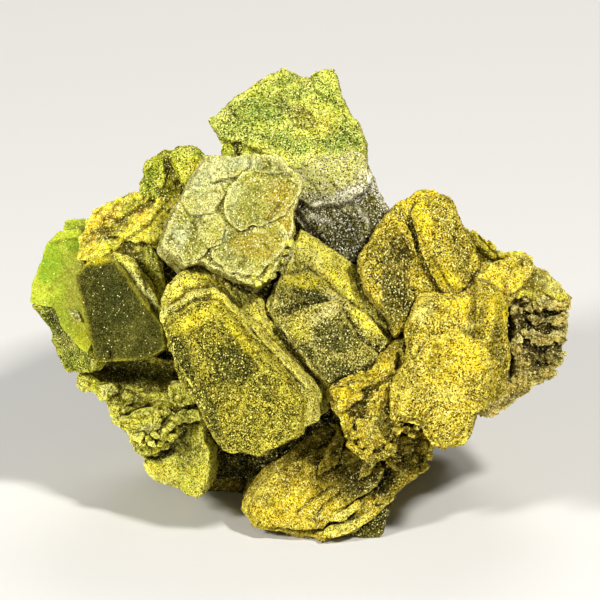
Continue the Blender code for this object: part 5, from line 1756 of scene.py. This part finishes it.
@dataclass
class Heart(Growth):
    """The lump in the middle and the foot it stands on."""

    name: str = "heart_and_foot"
    middle: Triple = (-1.0, -3.5, -6.5)
    radii: Triple = (17.0, 16.0, 11.0)
    foot_top: float = 13.0
    rows: int = 150
    columns: int = 300

    def crystals(self) -> Iterator[Crystal]:
        """The foot: its outline is seen from above, and it goes down through the resting surface."""
        outline = line(
            -11.4, 4.6, -7.0, 1.4, -5.0, -4.0, 3.0, -6.0, 8.0, 1.8, 10.4, 8.2, 11.0, 13.4, 8.0, 16.8, 1.0, 18.2,
            -7.0, 17.6, -11.4, 14.6, -12.6, 9.4)
        yield Crystal(
            outline, self.foot_top, (0.0, 0.0), (0.0, 0.0, -15.0), SHADED, FOOT, BROKEN,
            spacing=0.35, view=FOOT_VIEW, seed=239)

    def extra(self) -> list[Shell]:
        """The middle lump.

        Returns:
            One closed shell: directions over a ball, each times the three radii, moved outwards by
            broken lumps and noise.
        """
        down = np.radians(np.linspace(0.0, 180.0, self.rows + 2)[1:-1])[:, None]
        turn = np.radians(np.arange(self.columns) * 360.0 / self.columns)[None, :]
        ways = [np.sin(down) * np.cos(turn), np.sin(down) * np.sin(turn), np.cos(down) + 0.0 * turn]
        direction = np.stack(ways, axis=-1)
        grid = direction * self.radii + self.middle
        stand_in = Crystal((), 0.0, (0.0, 0.0), (0.0, 0.0, -1.0), SHADED, PLAIN, BROKEN, seed=241)
        grid, rough = stand_in.roughen(grid, np.zeros(grid.shape[:2]))
        # Painted shade in the lump's broken hollows.
        hollow = smooth_step(-0.2, -0.9, rough) * 0.6
        form = np.stack([np.zeros_like(hollow), np.zeros_like(hollow), hollow], axis=-1)
        return [stand_in.close(grid, np.zeros_like(grid), form)]


COFFIN = line(-0.40, -0.50, 0.28, -0.50, 0.50, -0.22, 0.47, 0.36, 0.12, 0.50, -0.42, 0.42, -0.50, -0.14)


@dataclass
class HiddenCrystal(Growth):
    """A crystal of the sides and back: a coffin-shaped block with straight growth steps and a bevel."""

    name: str
    view: View
    width: float
    height: float
    thickness: float
    finish: StoneFinish
    chance: random.Random
    seed: int
    jitter: float = 0.035
    plate_shift: float = 0.15

    def habit(self, scale: float, shift: tuple[float, float]) -> Outline:
        """The coffin outline, each corner moved a little.

        Args:
            scale: its size beside the crystal's.
            shift: how far it is off the middle, in crystal widths and heights.

        Returns:
            The outline.
        """
        corners = []
        for right, up in COFFIN:
            right += self.chance.uniform(-self.jitter, self.jitter)
            up += self.chance.uniform(-self.jitter, self.jitter)
            corners.append(((right * scale + shift[0]) * self.width, (up * scale + shift[1]) * self.height))
        return tuple(corners)

    def point(self, right: float, up: float) -> tuple[float, float]:
        """A place on the face, from its shares of the width and the height."""
        return right * self.width, up * self.height

    def crystals(self) -> Iterator[Crystal]:
        """The block, with two growth steps pushed over its edge and two cut corners."""
        body = self.habit(1.0, (0.0, 0.0))
        sweep = (self.chance.uniform(-1.0, 1.0), self.chance.uniform(-1.0, 1.0), -self.thickness - 1.0)
        scales = []
        for scale, rise in ((1.15, 0.8), (0.95, 0.7)):
            across = self.chance.uniform(-self.plate_shift, self.plate_shift)
            up = self.chance.uniform(-self.plate_shift, self.plate_shift)
            shift = (across + math.copysign(0.28, across), up + math.copysign(0.22, up))
            scales.append(Scale(self.habit(scale, shift), rise, (0.0, 0.0), 0.3, 0.2))
        own = random.Random(self.seed)
        side = own.choice((-1.0, 1.0))
        low = self.point(side * own.uniform(0.05, 0.25), -0.6 * side)
        high = self.point(side * own.uniform(0.22, 0.36), 0.6 * side)
        top = own.uniform(0.10, 0.24)
        upright = Facet(low, high, own.uniform(0.3, 0.6), 0.4)
        far = self.point(-0.6, top + own.uniform(-0.12, 0.12))
        facets = (upright, Facet(self.point(0.6, top), far, own.uniform(0.3, 0.5), 0.4))
        patches = (
            green(*self.point(0.25, -0.25), *self.point(0.24, 0.3), 0.6, own.uniform(-40.0, 40.0)),
            gold(*self.point(-0.2, 0.25), *self.point(0.34, 0.2), 0.7, own.uniform(-30.0, 30.0)),
            gold(*self.point(0.0, -0.4), *self.point(0.3, 0.12), 0.5),
        )
        fibres = Fibres(0.14, 1.0, own.uniform(-70.0, 70.0))
        yield Crystal(
            body, 1.0, (0.0, 0.0), sweep, self.finish, HIDDEN, SUGARY, tuple(scales), (), facets, fibres,
            patches, 0.26, self.view, self.seed)


SIDE_SEED = 41


def hidden_crystals() -> list[HiddenCrystal]:
    """The crystals of the sides and back: middle, azimuth, elevation, roll, width, height, thickness."""
    blocks = (
        ((-2, 19.5, 26), 180, 22, 10, 19, 15, 14, LIGHT_OLIVE),
        ((12.6, 16.5, 20.5), 142, 8, -18, 16, 14, 13, KHAKI_GOLD),
        ((-14.6, 15, 22), 218, 12, 16, 16, 15, 13, LIME),
        ((0.5, 21.6, 11.5), 176, -6, -9, 17, 13, 12, OLIVE),
        ((20.6, 7, 17.5), 98, -4, 14, 15, 14, 12, GOLDEN),
        ((-20.4, 9, 19), 262, 4, -12, 15, 14, 11, YELLOW_GREEN),
        ((0, 10.5, 34.5), 186, 58, 8, 13, 11, 12, BRIGHT_GREEN),
        ((13.6, 14, 8.5), 134, -10, 8, 12, 11, 10, YELLOW_BROWN),
        ((-13.4, 14, 8.8), 228, -8, -10, 12, 11, 10, YELLOW_GREEN),
        ((9.4, 9, 27.4), 140, 48, 24, 11, 10, 10, OLIVE),
        ((-12.6, 10, 30), 206, 50, -20, 12, 11, 10, YELLOW_GREEN),
        ((-8, 1.6, 4.6), -12, 2, 4, 9.5, 11, 9, SHADED),
        ((9.4, 5.4, 6), 52, -4, -8, 11, 11, 9, SHADED),
        ((-6.2, 19.4, 4.6), 194, -4, 7, 12, 11, 9, OLIVE),
        ((7.4, 18.4, 5.4), 158, -6, -12, 12, 11, 9, KHAKI_GOLD),
        ((-13.2, 8.4, 5.6), 262, -2, 10, 10, 11, 8, OLIVE),
    )
    chance = random.Random(SIDE_SEED)
    return [
        HiddenCrystal(
            f"side_crystal_{index:02d}", View(middle, azimuth, elevation, roll), width, height, thickness,
            finish, chance, 300 + 10 * index,
        )
        for index, (middle, azimuth, elevation, roll, width, height, thickness, finish) in enumerate(blocks)
    ]


# ---- stage
@dataclass(frozen=True)
class Studio:
    """The floor, the lights and the camera."""

    lens: float = 600.0
    sensor: float = 36.0
    frame_width: float = 600.0 / 9.0
    floor_side: float = 6000.0
    floor_gap: float = 0.02

    def floor(self) -> None:
        """A plain pale floor just under the specimen."""
        half = self.floor_side * MM / 2.0
        mesh = bpy.data.meshes.new("floor")
        corners = ((-half, -half), (half, -half), (half, half), (-half, half))
        mesh.from_pydata([(*corner, -self.floor_gap * MM) for corner in corners], [], [(0, 1, 2, 3)])
        material = bpy.data.materials.new("pale_floor")
        material.use_nodes = True
        shader = material.node_tree.nodes["Principled BSDF"]
        shader.inputs["Base Color"].default_value = (0.62, 0.61, 0.59, 1.0)
        shader.inputs["Roughness"].default_value = 0.9
        mesh.materials.append(material)
        made = bpy.data.objects.new("floor", mesh)
        bpy.context.scene.collection.objects.link(made)

    def light(self, name: str, place: Triple, size: float, power: float, tint: Triple) -> None:
        """Aim a square area light at the specimen's middle.

        Args:
            name: its name.
            place: where it is.
            size: its side.
            power: its watts.
            tint: its colour.
        """
        lamp = bpy.data.lights.new(name, "AREA")
        lamp.size = size * MM
        lamp.energy = power
        lamp.color = tint
        made = bpy.data.objects.new(name, lamp)
        made.location = [part * MM for part in place]
        aim = np.subtract((0.0, 0.0, RISE), place)
        level = math.hypot(aim[0], aim[1])
        made.rotation_euler = (math.atan2(level, -aim[2]), 0.0, math.atan2(-aim[0], aim[1]))
        bpy.context.scene.collection.objects.link(made)

    def lights(self) -> None:
        """A key from the upper right, a second light from the left, a rear light, a weak fill and a grey sky."""
        self.light("key", (270, -290, 470), 60, 3.7, (1, 0.98, 0.94))
        self.light("second", (-390, -330, 310), 80, 3.4, (1, 0.99, 0.96))
        self.light("rear", (60, 460, 420), 300, 1.6, (1, 0.99, 0.96))
        self.light("fill", (0, -620, 200), 500, 0.3, (1, 0.99, 0.97))
        world = bpy.data.worlds.new("studio")
        world.use_nodes = True
        background = world.node_tree.nodes["Background"]
        background.inputs["Color"].default_value = (0.80, 0.82, 0.85, 1.0)
        background.inputs["Strength"].default_value = 0.11
        bpy.context.scene.world = world

    def camera(self) -> None:
        """A long lens, level with the show side's own tilt, with the specimen's width in its frame."""
        data = bpy.data.cameras.new("camera")
        data.lens = self.lens
        data.sensor_width = self.sensor
        far = self.frame_width * self.lens / self.sensor * MM
        data.clip_end = 10.0
        made = bpy.data.objects.new("camera", data)
        tilt = math.radians(LEAN_BACK_DEG)
        made.location = (0.0, -far * math.cos(tilt), RISE * MM + far * math.sin(tilt))
        made.rotation_euler = (math.radians(90.0) - tilt, 0.0, 0.0)
        bpy.context.scene.collection.objects.link(made)
        bpy.context.scene.camera = made

    def build(self) -> None:
        """Set up the stage and plain screen colours."""
        self.floor()
        self.lights()
        self.camera()
        bpy.context.scene.view_settings.view_transform = "Standard"


def main() -> None:
    """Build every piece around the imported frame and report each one."""
    logging.basicConfig(level=logging.INFO, format="%(message)s")
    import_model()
    shader = StoneShader()
    growths: list[Growth] = [
        TopCrystal(), ScalyCrystal(), LeftBlock(), FarLeftCrystal(), BackLump(), FrontBlock(),
        CentreCrystal(), RightCrystal(), GoldenCrystal(), SmallBlock(), RibbedBlock(), BottomCrystal(),
        LowerLeftLumps(), Heart(), *hidden_crystals(),
    ]
    parts = [(growth, list(growth.crystals())) for growth in growths]
    creases = Creases()
    creases.fill_ball(Heart.middle, Heart.radii)
    for _, crystals in parts:
        for crystal in crystals:
            creases.fill(crystal)
    creases.blur()
    for growth, crystals in parts:
        shells = growth.extra() + [crystal.build() for crystal in crystals]
        Piece(growth.name, [creases.shade(shell) for shell in shells]).place(shader)
    Studio().build()


if __name__ == "__main__":
    main()
